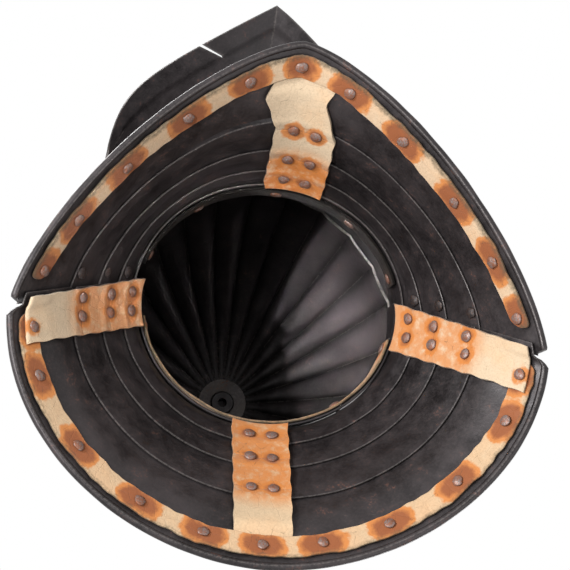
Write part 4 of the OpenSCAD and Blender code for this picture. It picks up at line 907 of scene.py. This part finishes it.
def build_strap(which):
    finish, strength, far = STRAPS[which]
    stops = [STRAP_START, edge_s(1), edge_s(2), strap_end(which)]
    x = (-1 if which == "rear_centre" else 1) * np.linspace(-1, 1, 17)[None, :] * STRAP_W / 2
    rivets = np.concatenate([strap_rivet_places(which, i)[0] for i in range(3)])
    if which.endswith("side"):
        rivets = np.concatenate([rivets, rim_rivet_places(False)[0]])

    def row(s, places=x):
        return strap_grid(which, np.full((1, 1), s), places)[0]

    neck_end, rim_end = row(stops[0]), row(stops[3])
    for part in range(3):
        a, b = stops[part], stops[part + 1]
        s = np.linspace(a, b, max(8, int((b - a) * SLANT / 1.3)))[:, None]
        width = x * (1 + 0.02 * np.sin(s * 47) * np.sign(x))
        if which == "front_centre":
            width = width * (1 - 0.05 * ease((0.09 - s) / 0.06))
        grid = strap_grid(which, s, width)
        if np.dot(grid_normals(grid)[2, 8], guard_n(*grid_angles(grid))) < 0:
            grid = grid[:, ::-1]
        obj = sheet(f"{which}_strap_{part + 1}", grid, strap_thickness(which, s[:, 0]), helmet_material(finish))
        points = mesh_points(obj)
        from_neck = np.linalg.norm(points - neck_end.mean(0), axis=1)
        set_attribute(obj, "halo", nearness(points, rivets, 11.0))
        set_attribute(obj, "soil", 0.7 * nearness(points, [*grid[:, 0], *grid[:, -1], *neck_end, *rim_end], 2.6))
        set_attribute(obj, "stain", strength * (1 - ease((from_neck - far + 6) / 16)))
        shade(obj, LEATHER_FOLD)
        middle = np.zeros((1, 1))
        start = row(edge_s(part) + 0.03, middle)[0] * MM
        end = row(edge_s(part + 1) - 0.03 if part < 2 else STRAP_END - 0.05, middle)[0] * MM
        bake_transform(obj)
        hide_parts(f"{which}_strap")


def grid_angles(grid):
    """Angle round the neck and share down the guard of a grid's middle, for its outward side."""
    p = grid[2, 8]
    return np.degrees(np.arctan2(p[0], -(p[1] - NECK_Y))), (NECK_Z - p[2]) / (NECK_Z - ROLL_R)


# Rivets: the sides of one, how many different ones there are, and how uneven and how tilted their heads are
RIVET_SIDES, RIVET_KINDS = 22, 4
RIVET_UNEVEN, RIVET_TILT = 0.035, 0.06


def rivet_shape(name, ring, seed):
    """One hammered rivet turned about +Z from (radius, height) pairs, uneven round its rims."""
    rng = np.random.default_rng(seed)
    turn = np.arange(RIVET_SIDES) * 2 * np.pi / RIVET_SIDES
    uneven = 1 + sum(rng.normal(0, RIVET_UNEVEN) * np.cos(k * turn + rng.uniform(0, 6.3)) for k in (1, 2, 3, 5))
    points = [(0, 0, ring[0][1])]
    for r, z in ring[1:-1]:
        wide = r > RIVET_R + 0.2
        scale, tilt = (uneven, RIVET_TILT * r * np.cos(turn + seed)) if wide else (1.0, 0.0 * turn)
        points += list(zip(r * scale * np.cos(turn), r * scale * np.sin(turn), z + tilt))
    points.append((0, 0, ring[-1][1]))

    def at(k, j):
        return 1 + k * RIVET_SIDES + j % RIVET_SIDES

    last, around = len(ring) - 3, range(RIVET_SIDES)
    faces = [(0, at(0, j + 1), at(0, j)) for j in around]
    faces += [(at(k, j), at(k, j + 1), at(k + 1, j + 1), at(k + 1, j)) for k in range(last) for j in around]
    faces += [(at(last, j), at(last, j + 1), len(points) - 1) for j in around]
    obj = write_mesh(name, np.array(points, float), faces, None)
    face_outwards(obj)
    shade(obj, RIVET_FOLD)
    return obj


def inner_end(depth):
    """Washer and light peened end, which close so far below the outer face."""
    under = -depth - ROVE_T
    return [(0, under - 0.62), (1.0, under - 0.6), (1.7, under - 0.5), (2.2, under - 0.28), (2.7, under - 0.16),
            (ROVE_R - 0.2, under + 0.05), (ROVE_R, -depth - 0.3), (ROVE_R - 0.15, -depth), (RIVET_R, -depth)]


def round_head(play):
    return [(RIVET_R, play), (HEAD_R - 0.15, play), (HEAD_R, play + 0.25), (HEAD_R * 0.93, play + HEAD_H * 0.5),
            (HEAD_R * 0.72, play + HEAD_H * 0.82), (HEAD_R * 0.4, play + HEAD_H * 0.97), (0, play + HEAD_H)]


FLUSH_HEAD = [(RIVET_R, -0.8), (RIVET_R + 0.6, -0.15), (RIVET_R + 0.3, -0.05), (0, -0.02)]


def rivet_tree(name):
    """Tree that sets one of the hammered rivets at each point, turned at random about its own axis."""
    tree = bpy.data.node_groups.new(f"{name}_nodes", "GeometryNodeTree")
    node = partial(add_node, tree)

    def socket(label, kind, way="INPUT"):
        return tree.interface.new_socket(label, in_out=way, socket_type=f"NodeSocket{kind}")

    socket("Geometry", "Geometry")
    inputs = [socket(*row) for row in (("Seed", "Int"), ("Size spread", "Float"), ("Finish", "Material"),
                                       ("Rivets", "Collection"))]
    socket("Geometry", "Geometry", "OUTPUT")
    given = node(("NodeGroupInput", {}, (), None)).outputs
    seed, spread, finish, kinds = (next(o for o in given if o.identifier == i.identifier) for i in inputs)
    whole = ("FunctionNodeRandomValue", {"data_type": "INT"}, ("Seed", 4, 5), 2)
    share = ("FunctionNodeRandomValue", {"data_type": "FLOAT"}, ("Seed", 2, 3), 1)
    vector = ("ShaderNodeCombineXYZ", {}, ("X", "Y", "Z"), 0)
    size = node(share, seed, node(MINUS, 1.0, spread), 1.0)
    facing = node(("GeometryNodeInputNamedAttribute", {"data_type": "FLOAT_VECTOR"}, ("Name",), 0), "facing")
    aligned = node(("FunctionNodeAlignRotationToVector", {"axis": "Z"}, ("Vector",), 0), facing)
    shapes = node(("GeometryNodeCollectionInfo", {}, ("Collection", "Separate Children", "Reset Children"), 0),
                  kinds, True, True)
    placed = node(("GeometryNodeInstanceOnPoints", {}, (
        "Points", "Instance", "Pick Instance", "Instance Index", "Rotation", "Scale"), 0),
        given[0], shapes, True, node(whole, seed, 0, RIVET_KINDS - 1), aligned, node(vector, size, size, 1.0))
    turn = node(vector, None, None, node(share, seed, 0.0, 2 * math.pi))
    turned = node(("GeometryNodeRotateInstances", {}, ("Instances", "Rotation"), 0), placed, turn)
    real = node(("GeometryNodeRealizeInstances", {}, ("Geometry",), 0), turned)
    dressed = node(("GeometryNodeSetMaterial", {}, ("Geometry", "Material"), 0), real, finish)
    node(("NodeGroupOutput", {}, (0,), None), dressed)
    return tree, inputs


def scatter_rivets(name, places, depth, head, body, node, seed, finish="Hammered rivet iron"):
    """Rivets at places given as points and normals, closed so far below the outer face."""
    kinds = bpy.data.collections.new(f"{name}_kinds")
    for k in range(RIVET_KINDS):
        shape = rivet_shape(f"{name}_kind_{k}", inner_end(depth) + head, seed + k)
        bpy.context.scene.collection.objects.unlink(shape)
        kinds.objects.link(shape)
    points, normals = places
    carrier = write_mesh(name, points, [], None)
    facing = carrier.data.attributes.new("facing", "FLOAT_VECTOR", "POINT")
    facing.data.foreach_set("vector", np.asarray(normals, np.float32).ravel())
    modifier = carrier.modifiers.new("rivets", "NODES")
    modifier.node_group, inputs = rivet_tree(name)
    spread = bpy.context.scene.helmet_sizes.rivet_spread
    for socket, value in zip(inputs, (seed, spread, helmet_material(finish), kinds)):
        modifier[socket.identifier] = value
    mesh = evaluated_mesh(carrier)
    if len(mesh.polygons) < len(points) * 20:
        raise RuntimeError(f"{name}: the rivets weren't made")
    carrier.modifiers.clear()
    carrier.data = mesh
    for shape in list(kinds.objects):
        bpy.data.objects.remove(shape)
    bpy.data.collections.remove(kinds)
    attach(carrier, body)
    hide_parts(node)


def pair_rivet_places(i):
    u = np.array([-PIVOT_U, PIVOT_U])
    s = np.full(2, edge_s(i) + LAP * 0.02)
    return guard_at(u, s, SET_STEP + HALF_PITCH), guard_n(u, s)


def plume_rivet_places():
    half_u, half_z, mid_z = 8.6, 17.0, 152.0
    u = np.array([180 - half_u * 0.7, 180 + half_u * 0.7] * 2)
    v = nape_v(np.repeat([mid_z - half_z * 0.72, mid_z + half_z * 0.72], 2))
    n = normal_at(skull_pt, u, v, 0.01)
    return skull_pt(u, v) + 1.7 * n, n


def build_rivets():
    rim_depth, head, rear = LAME_T + BAND_SEAT + BAND_T + 0.35, round_head(0.5), rim_rivet_places(False)
    scatter_rivets("front_band_rivets", rim_rivet_places(True), rim_depth, head, "front_rim_body",
                   "front_rim_rivets", 3)
    scatter_rivets("rear_band_rivets", [part[:-2] for part in rear], rim_depth, head, "rear_rim_body",
                   "rear_rim_rivets", 4)
    # The back's last two hold the ends of the side straps too, so they are longer
    scatter_rivets("rear_strap_end_rivets", [part[-2:] for part in rear], rim_depth + STRAP_T + 0.4, head,
                   "rear_rim_body", "rear_rim_rivets", 7)
    for place, front, plates in (("nape", False, LAME_T + 2 * SEAT + SKULL_T), ("chin", True, LAME_T + SEAT + FACE_T)):
        scatter_rivets(f"{place}_collar_rivets", collar_rivet_places(front), plates + LINING_T + 0.8, round_head(0.3),
                       BODIES[front][0], "chin_rivets" if front else "collar_rivets", 9)
    strap_depth = STRAP_CLEAR - HALF_PITCH + STRAP_T + STRAP_SEAT + 0.3
    for i, level in enumerate(("neck", "3", "2")):
        scatter_rivets(f"front_strap_heads_{level}", strap_rivet_places("front_centre", i), strap_depth, FLUSH_HEAD,
                       BODIES[True][i], f"front_strap_rivets_{level}", 15 + i)
        sets = [strap_rivet_places(which, i) for which in ("rear_centre", "left_side", "right_side")]
        scatter_rivets(f"rear_strap_heads_{level}", [np.concatenate(both) for both in zip(*sets)], strap_depth,
                       FLUSH_HEAD, BODIES[False][i], f"rear_strap_rivets_{level}", 25 + i)
        scatter_rivets(f"side_heads_{level}", pair_rivet_places(i), 2 * LAME_T + LAME_GAP + 0.45, round_head(0.45),
                       BODIES[True][i], f"side_rivets_{level}", 35 + i, "Blackened rivet iron")
    scatter_rivets("plume_plate_rivets", plume_rivet_places(), 3.5, round_head(0.3), "skull_body", "plume_rivets", 45)


# Larger plates: the flutes are so many times as deep as the solids', as the photographed ones look
FLUTE_RELIEF = 1.35
AIR_HOLE_U, AIR_HOLE_Z, AIR_HOLE_R = (-50.0, -42.0, -34.0, 34.0, 42.0, 50.0), (132.0, 141.0, 150.0), 1.6
SIGHT_START = 12.0


def build_skull():
    u = np.arange(FLUTES * 12) * 360 / (FLUTES * 12)
    v = [0.045, 0.06, 0.08, *np.linspace(0.11, 2.0, 58), nape_v(SKULL_FOOT_Z + 1), nape_v(SKULL_FOOT_Z)]
    uu, vv = np.meshgrid(u, v)
    normals = normal_at(skull_pt, uu, vv, 0.01)
    fade = np.clip((vv - 0.05) / 0.3, 0, 1) * np.clip((1.12 - vv) / 0.3, 0, 1)
    channel = np.abs(np.sin(np.pi * uu * FLUTES / 360)) ** 0.75
    grid = skull_pt(uu, vv) - (FLUTE_RELIEF * FLUTE_DEPTH * fade * channel)[..., None] * normals
    # With flutes that deep the bowl lies a little further in, clear of the bevor's swing
    grid = grid - (0.3 + swell(grid, 30, 5)) * normals
    obj = sheet("skull_bowl", grid, SKULL_T, helmet_material("Blackened iron skull"), ring=True)
    middle = (CHEEK_Y - FACE_CORNER_R, BROW_Z - FACE_CORNER_R)
    corner = circle(*middle, FACE_CORNER_R, 48)[:13]
    carve(obj, across([(CHEEK_Y - 200, 0), (CHEEK_Y, 0), *corner, (CHEEK_Y - 200, BROW_Z)]))
    finish_plate(obj, fold=70)
    # Painted shade: inside the bowl the creases between the flutes are darkened towards black
    points, facing = mesh_points(obj), np.empty(len(obj.data.vertices) * 3)
    obj.data.vertices.foreach_get("normal", facing)
    inside = np.einsum("ij,ij->i", facing.reshape(-1, 3), points - (0, SKULL_MID_Y, 190.0)) < 0
    k = np.sqrt(np.clip(1 - (np.clip(points[:, 2] - EQUATOR_Z, 0, None) / (APEX_Z - EQUATOR_Z)) ** 2, 1e-4, 1))
    round_y = (points[:, 1] - APEX_Y * (1 - k) - SKULL_MID_Y * k) / SKULL_HALF_LEN
    u = np.arctan2(points[:, 0] / SKULL_HALF_W, -round_y)
    v = np.where(points[:, 2] > EQUATOR_Z, np.arcsin(k) / (np.pi / 2), nape_v(points[:, 2]))
    fade = np.clip((v - 0.05) / 0.2, 0, 1) * np.clip((1.2 - v) / 0.3, 0, 1)
    set_attribute(obj, "painted_crease_shade", inside * fade * (1 - np.abs(np.sin(u * FLUTES / 2))) ** 1.5)
    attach(obj, "skull_body")
    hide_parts("skull")


def face_sheet(name, surface, z_top, z_low, u_end, seed, outline, ear_r):
    z = np.linspace(z_top, z_low, int(abs(z_top - z_low) / 2.6))[:, None]
    u = np.linspace(-u_end, u_end, 150)[None, :]
    grid = surface(u + 0 * z, LEVEL - z + 0 * u)
    grid = grid + 0.6 * swell(grid, 32, seed) * grid_normals(grid)
    obj = sheet(name, grid, FACE_T, helmet_material("Blackened iron plate"))
    mask = across(outline)
    carve(mask, across(circle(PIVOT_Y, PIVOT_Z, ear_r)), "UNION")
    carve(obj, mask, "INTERSECT")
    return obj


def build_bevor():
    outline = [(-170, 60), (-170, 166), (-60, 171), (PIVOT_Y - EAR_R, PIVOT_Z + 3), (PIVOT_Y + EAR_R - 2, PIVOT_Z + 5),
               (16, 150), (-2, 84), (-2, 60)]
    obj = face_sheet("bevor_plate", bevor_face, 228, NECK_Z - 1, 100, 81, outline, EAR_R + 2)
    for u in AIR_HOLE_U:
        for z in AIR_HOLE_Z:
            p, n = bevor_face(u, LEVEL - z), normal_at(bevor_face, u, LEVEL - z, 0.5)
            hole = prism(circle(0, 0, AIR_HOLE_R, 16), -6, 6, "z")
            turn = Vector((0, 0, 1)).rotation_difference(Vector(n)).to_matrix().to_4x4()
            hole.data.transform(Matrix.Translation(Vector(p) * MM) @ turn)
            carve(obj, hole)
    finish_plate(obj)
    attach(obj, "bevor_body")
    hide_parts("bevor")


def build_visor():
    outline = [(-170, 157), (-55, 161), (PIVOT_Y, PIVOT_Z - EAR_R), (PIVOT_Y, PIVOT_Z + EAR_R), (-40, 223), (-170, 223)]
    obj = face_sheet("visor_plate", visor_face, 226, 155, 98, 91, outline, EAR_R)
    half = SIGHT_H / 2
    for way in (1, -1):
        slit = [(way * (x + half * math.cos(t)), SIGHT_Z + half * math.sin(t))
                for x, first in ((SIGHT_START + half, 90), (SIGHT_START + SIGHT_W - half, -90))
                for t in np.radians(np.linspace(first, first + 180, 12))]
        carve(obj, prism(slit, -140, -60, "y"))
    finish_plate(obj)
    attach(obj, "visor_body")
    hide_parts("visor")


def build_peak():
    half = [*np.linspace(0, 5, 9), *np.linspace(6.2, 82, 58), BRIM_END_U, BRIM_END_U + 0.3, *np.linspace(85, 98, 7)]
    half = np.array(half)
    u = np.concatenate([-half[:0:-1], half])
    root = peak_root(u, 0.0)
    flange = peak_root(u, lerp(PEAK_TOP_Z, PIVOT_Z + PEAK_EAR_R + 1, ease((np.abs(u) - 52) / 34)))
    length = np.linalg.norm(brim_rim(u) - brim_root(u), axis=-1)
    border = 1 - np.minimum(0.45, PEAK_BORDER / length)

    def brim_row(v):
        ear = stack(root[:, 0], root[:, 1], root_z(root[:, 1]) + 1.6 - 14 * v)
        return np.where(np.abs(u)[:, None] > BRIM_END_U, ear, brim(u, v))

    # Rows of the flange, of the brim inside its border, and of the sunken border
    start, inside, outside = brim_row(0 * u), border - 0.8 / length, border + 0.8 / length
    rows = [lerp(flange, start, k) for k in (0, 0.04, 0.12, 0.35, 0.65, 0.9)]
    rows += [brim_row(0 * u + k * border) for k in (0, 0.03, 0.08, *np.linspace(0.16, 0.94, 16))] + [brim_row(inside)]
    raised = len(rows)
    rows += [brim_row(lerp(outside, 1, k)) for k in (0, 0.15, 0.4, 0.65, 0.84, 0.93, 0.97, 1)]
    grid, sink = np.stack(rows), np.repeat([0.0, PEAK_SINK], [raised, len(rows) - raised])[:, None, None]
    obj = sheet("peak_plate", grid + (swell(grid, 40, 95) - sink) * grid_normals(grid), FACE_T,
                helmet_material("Blackened iron plate"))
    side_y = float(peak_root(BRIM_END_U, 0.0)[1]) + 0.5
    mask = across([(-300, 100), (side_y, 100), (side_y, 300), (-300, 300)])
    carve(mask, across(circle(PIVOT_Y, PIVOT_Z, PEAK_EAR_R)), "UNION")
    carve(mask, across([(side_y - 1, float(root_z(side_y))), (PIVOT_Y, PIVOT_Z - PEAK_EAR_R),
                        (PIVOT_Y, PIVOT_Z + PEAK_EAR_R), (side_y - 1, PIVOT_Z + PEAK_EAR_R + 2)]), "UNION")
    carve(obj, mask, "INTERSECT")
    # The crack in the border
    carve(obj, prism([(-29.0, -173.2), (-29.6, -174.3), (-60, -184.4), (-60.4, -181.6)], 140, 215, "z"))
    finish_plate(obj, 2.2)
    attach(obj, "peak_body")
    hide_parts("peak")


def dress_fittings():
    """The turned and cut fittings keep their solids and get their finishes."""
    finishes = {
        "Worn iron fittings": (
            "apex_washer", "finial_rosette", "finial_ring", "temple_rosette_left", "temple_rosette_right", "visor_peg",
            "bevor_hook", "bevor_hook_rivet", "bevor_stud", "visor_hook", "visor_hook_rivet", "visor_stud"),
        "Blackened iron plate": (
            "finial_stem", "plume_tube", "temple_bolt_left", "temple_bolt_right", "temple_nut_left",
            "temple_nut_right"),
    }
    for finish, nodes in finishes.items():
        for node in nodes:
            slots = frame["nodes"][node].material_slots
            if not slots:
                raise RuntimeError(f"{node} has no material slot")
            for slot in slots:
                slot.link = "OBJECT"
                slot.material = helmet_material(finish)


# Stage: the camera was fitted to the photograph, in millimetres and pixels
CAMERA_AT = (-156.9, 236.7, -1421.0)
CAMERA_RIGHT, CAMERA_AHEAD = (0.989, -0.081, -0.123), (0.108, -0.169, 0.980)
SENSOR, FOCAL_PX, FRAME_PX = 36.0, 2755.0, 570.0
FLOOR_HALF = 4000
CAMERA_RAY, GLOSSY_RAY, PASSING_RAY = (("ShaderNodeLightPath", {}, (), f"Is {kind} Ray")
                                       for kind in ("Camera", "Glossy", "Transmission"))


def soft_lamp(name, at, to, size, watts, spread=180):
    lamp = bpy.data.lights.new(name, "AREA")
    lamp.shape, lamp.size, lamp.energy, lamp.spread = "DISK", size, watts, math.radians(spread)
    obj = bpy.data.objects.new(name, lamp)
    bpy.context.scene.collection.objects.link(obj)
    obj.location = at
    obj.rotation_euler = (Vector(to) - Vector(at)).to_track_quat("-Z", "Y").to_euler()


def build_camera():
    camera = bpy.data.cameras.new("camera")
    camera.sensor_width, camera.sensor_height, camera.sensor_fit = SENSOR, SENSOR, "HORIZONTAL"
    camera.lens = SENSOR * FOCAL_PX / FRAME_PX
    camera.clip_start, camera.clip_end = 0.05, 20
    obj = bpy.data.objects.new("camera", camera)
    bpy.context.scene.collection.objects.link(obj)
    right, back = unit(np.array(CAMERA_RIGHT)), -np.array(CAMERA_AHEAD)
    back = unit(back - right * (back @ right))
    obj.matrix_world = Matrix(np.array([right, np.cross(back, right), back]).T.tolist()).to_4x4()
    obj.location = Vector(CAMERA_AT) * MM
    bpy.context.scene.camera = obj


def build_floor():
    """The floor shows from above, and a camera below it sees through it, as through a glass table."""
    corners = [(x * FLOOR_HALF, y * FLOOR_HALF, 0.0) for x, y in ((-1, -1), (1, -1), (1, 1), (-1, 1))]
    material = bpy.data.materials.new("Pale studio floor")
    floor = write_mesh("floor", corners, [(0, 1, 2, 3)], material)
    node = empty_tree(material)
    top_side = node(MINUS, 1.0, node(("ShaderNodeNewGeometry", {}, (), "Backfacing")))
    shown = node(TIMES, node(CAMERA_RAY), top_side)
    paint = node(("ShaderNodeBsdfDiffuse", {}, ("Color",), 0), (*bpy.context.scene.helmet_colours.floor, 1.0))
    clear = node(("ShaderNodeBsdfTransparent", {}, (), 0))
    node(MATERIAL_OUTPUT, node(MIX_SHADER, shown, clear, paint))


def build_stage():
    scene = bpy.context.scene
    scene.view_settings.view_transform = "Standard"
    build_camera()
    build_floor()
    # Glossy rays meet a white studio, other rays its even fill, and the camera sees plain white
    scene.world = bpy.data.worlds.new("studio")
    node = empty_tree(scene.world)
    sky = ("ShaderNodeBackground", {}, ("Color", "Strength"), 0)
    fill, white = (node(sky, (1, 1, 1, 1), level) for level in (scene.helmet_sizes.sky_level, 1.0))
    seen = node(LARGER, node(CAMERA_RAY), node(PASSING_RAY))
    lit = node(MIX_SHADER, node(GLOSSY_RAY), fill, white)
    node(("ShaderNodeOutputWorld", {}, ("Surface",), None), node(MIX_SHADER, seen, lit, white))

    low, middle, lens = (0, 0, 0.1), (0, 0, 0.15), (-0.52, 0.05, -0.9)
    soft_lamp("key_below", (-1.0, -0.3, -0.75), low, 0.35, 15)
    soft_lamp("lens_side", lens, (0.02, -0.06, 0.27), 0.15, 8)
    # A narrow beam through the neck shows the flutes inside the bowl
    soft_lamp("through_neck", lens, (-0.016, (NECK_Y - 14) * MM, NECK_Z * MM), 0.04, 0.15, 6)
    soft_lamp("fill_below", (0.9, 0.6, -0.9), low, 1.0, 4)
    soft_lamp("key_above", (-0.9, -1.2, 1.5), middle, 1.0, 26)
    soft_lamp("rim_above", (1.1, 1.0, 1.3), middle, 1.0, 14)


# Add-on
class HelmetSizes(PropertyGroup):
    hammer_height: FloatProperty(name="Hammer marks", description="Height of the hammered unevenness", default=0.0003,
                                 min=0, max=0.001, unit="LENGTH", subtype="DISTANCE", precision=5)
    rivet_spread: FloatProperty(name="Rivet size spread", description="Share by which rivets differ in width",
                                default=0.1, min=0, max=0.3, subtype="FACTOR")
    sky_level: FloatProperty(name="Studio fill", description="Strength of the even light around the helmet",
                             default=0.42, min=0, max=1, subtype="FACTOR")


def colour_property(name, description, hex_code):
    return FloatVectorProperty(name=name, description=description, default=srgb(hex_code), size=3, min=0, max=1,
                               subtype="COLOR")


class HelmetColours(PropertyGroup):
    iron: colour_property("Iron", "Darkest tone of the blackened plates", "1D1A1B")
    iron_pale: colour_property("Iron, thin blacking", "Plates where the blacking has thinned", "433D3E")
    worn: colour_property("Bare iron", "Metal at worn edges and on the fittings", "8E8782")
    rust: colour_property("Rust", "Rust on plates and round rivets", "83492A")
    leather: colour_property("Leather, front", "Pale buff leather of the front rim and strap", "CBB497")
    leather_rear: colour_property("Leather, back", "Leather of the back rim and strap", "C6AC8B")
    leather_tan: colour_property("Leather, handled", "Darker handling marks in the leather", "D0AC86")
    stain: colour_property("Leather, stained", "Orange stain by the neck and round rivets", "BE7332")
    dirt: colour_property("Dirt", "Dark dirt at the leather's edges", "4B4434")
    rivet: colour_property("Rivet top", "Grey-brown tops of the rivets", "7D706C")
    rivet_skirt: colour_property("Rivet skirt", "Brown of the rivets' sides", "7A5443")
    floor: colour_property("Floor", "Plain pale floor", "F2F0EC")


class HELMET_OT_skull(Operator):
    """Fluted skull with its face opening"""
    bl_idname = "helmet.skull"
    bl_label = "Skull"

    def execute(self, context):
        build_skull()
        return {"FINISHED"}


class HELMET_OT_bevor(Operator):
    """Bevor with its air holes"""
    bl_idname = "helmet.bevor"
    bl_label = "Bevor"

    def execute(self, context):
        build_bevor()
        return {"FINISHED"}


class HELMET_OT_visor(Operator):
    """Visor with its two sights"""
    bl_idname = "helmet.visor"
    bl_label = "Visor"

    def execute(self, context):
        build_visor()
        return {"FINISHED"}


class HELMET_OT_peak(Operator):
    """Pointed peak with its sunken border"""
    bl_idname = "helmet.peak"
    bl_label = "Peak"

    def execute(self, context):
        build_peak()
        return {"FINISHED"}


class HELMET_OT_neck_plates(Operator):
    """Four plates in front and four behind"""
    bl_idname = "helmet.neck_plates"
    bl_label = "Neck plates"

    def execute(self, context):
        neck_plates(True)
        neck_plates(False)
        return {"FINISHED"}


class HELMET_OT_leather(Operator):
    """Leather bands along the rims and linings at the collar"""
    bl_idname = "helmet.leather"
    bl_label = "Bands and linings"

    def execute(self, context):
        for front in (True, False):
            rim_band(front)
            neck_lining(front)
        return {"FINISHED"}


class HELMET_OT_straps(Operator):
    """Leather straps that hold the plates together"""
    bl_idname = "helmet.straps"
    bl_label = "Straps"

    def execute(self, context):
        for which in STRAPS:
            build_strap(which)
        return {"FINISHED"}


class HELMET_OT_rivets(Operator):
    """Hammered rivets, set by Geometry Nodes"""
    bl_idname = "helmet.rivets"
    bl_label = "Rivets"

    def execute(self, context):
        build_rivets()
        return {"FINISHED"}


class HELMET_OT_fittings(Operator):
    """Finishes of the finial, bolts, hooks and plume tube"""
    bl_idname = "helmet.fittings"
    bl_label = "Fittings"

    def execute(self, context):
        dress_fittings()
        return {"FINISHED"}


class HELMET_OT_stage(Operator):
    """Camera, floor and soft light"""
    bl_idname = "helmet.stage"
    bl_label = "Stage"

    def execute(self, context):
        build_stage()
        return {"FINISHED"}


OPERATORS = (HELMET_OT_stage, HELMET_OT_skull, HELMET_OT_bevor, HELMET_OT_visor, HELMET_OT_peak,
             HELMET_OT_neck_plates, HELMET_OT_leather, HELMET_OT_straps, HELMET_OT_rivets, HELMET_OT_fittings)


class HELMET_PT_panel(Panel):
    """Lists the helmet's sizes, colours and pieces"""
    bl_idname = "HELMET_PT_panel"
    bl_label = "Helmet"
    bl_space_type = "VIEW_3D"
    bl_region_type = "UI"
    bl_category = "Helmet"

    def draw(self, context):
        for group in (context.scene.helmet_sizes, context.scene.helmet_colours):
            for key in group.bl_rna.properties.keys():
                if key not in ("rna_type", "name"):
                    self.layout.prop(group, key)
        for operator in OPERATORS:
            self.layout.operator(operator.bl_idname)


CLASSES = (HelmetSizes, HelmetColours, *OPERATORS, HELMET_PT_panel)


def register():
    for cls in CLASSES:
        bpy.utils.register_class(cls)
    bpy.types.Scene.helmet_sizes = PointerProperty(type=HelmetSizes)
    bpy.types.Scene.helmet_colours = PointerProperty(type=HelmetColours)


def unregister():
    del bpy.types.Scene.helmet_colours
    del bpy.types.Scene.helmet_sizes
    for cls in reversed(CLASSES):
        bpy.utils.unregister_class(cls)


def main():
    register()
    for operator in OPERATORS:
        group, name = operator.bl_idname.split(".")
        getattr(getattr(bpy.ops, group), name)()
    bpy.context.view_layer.update()


if __name__ == "__main__":
    main()
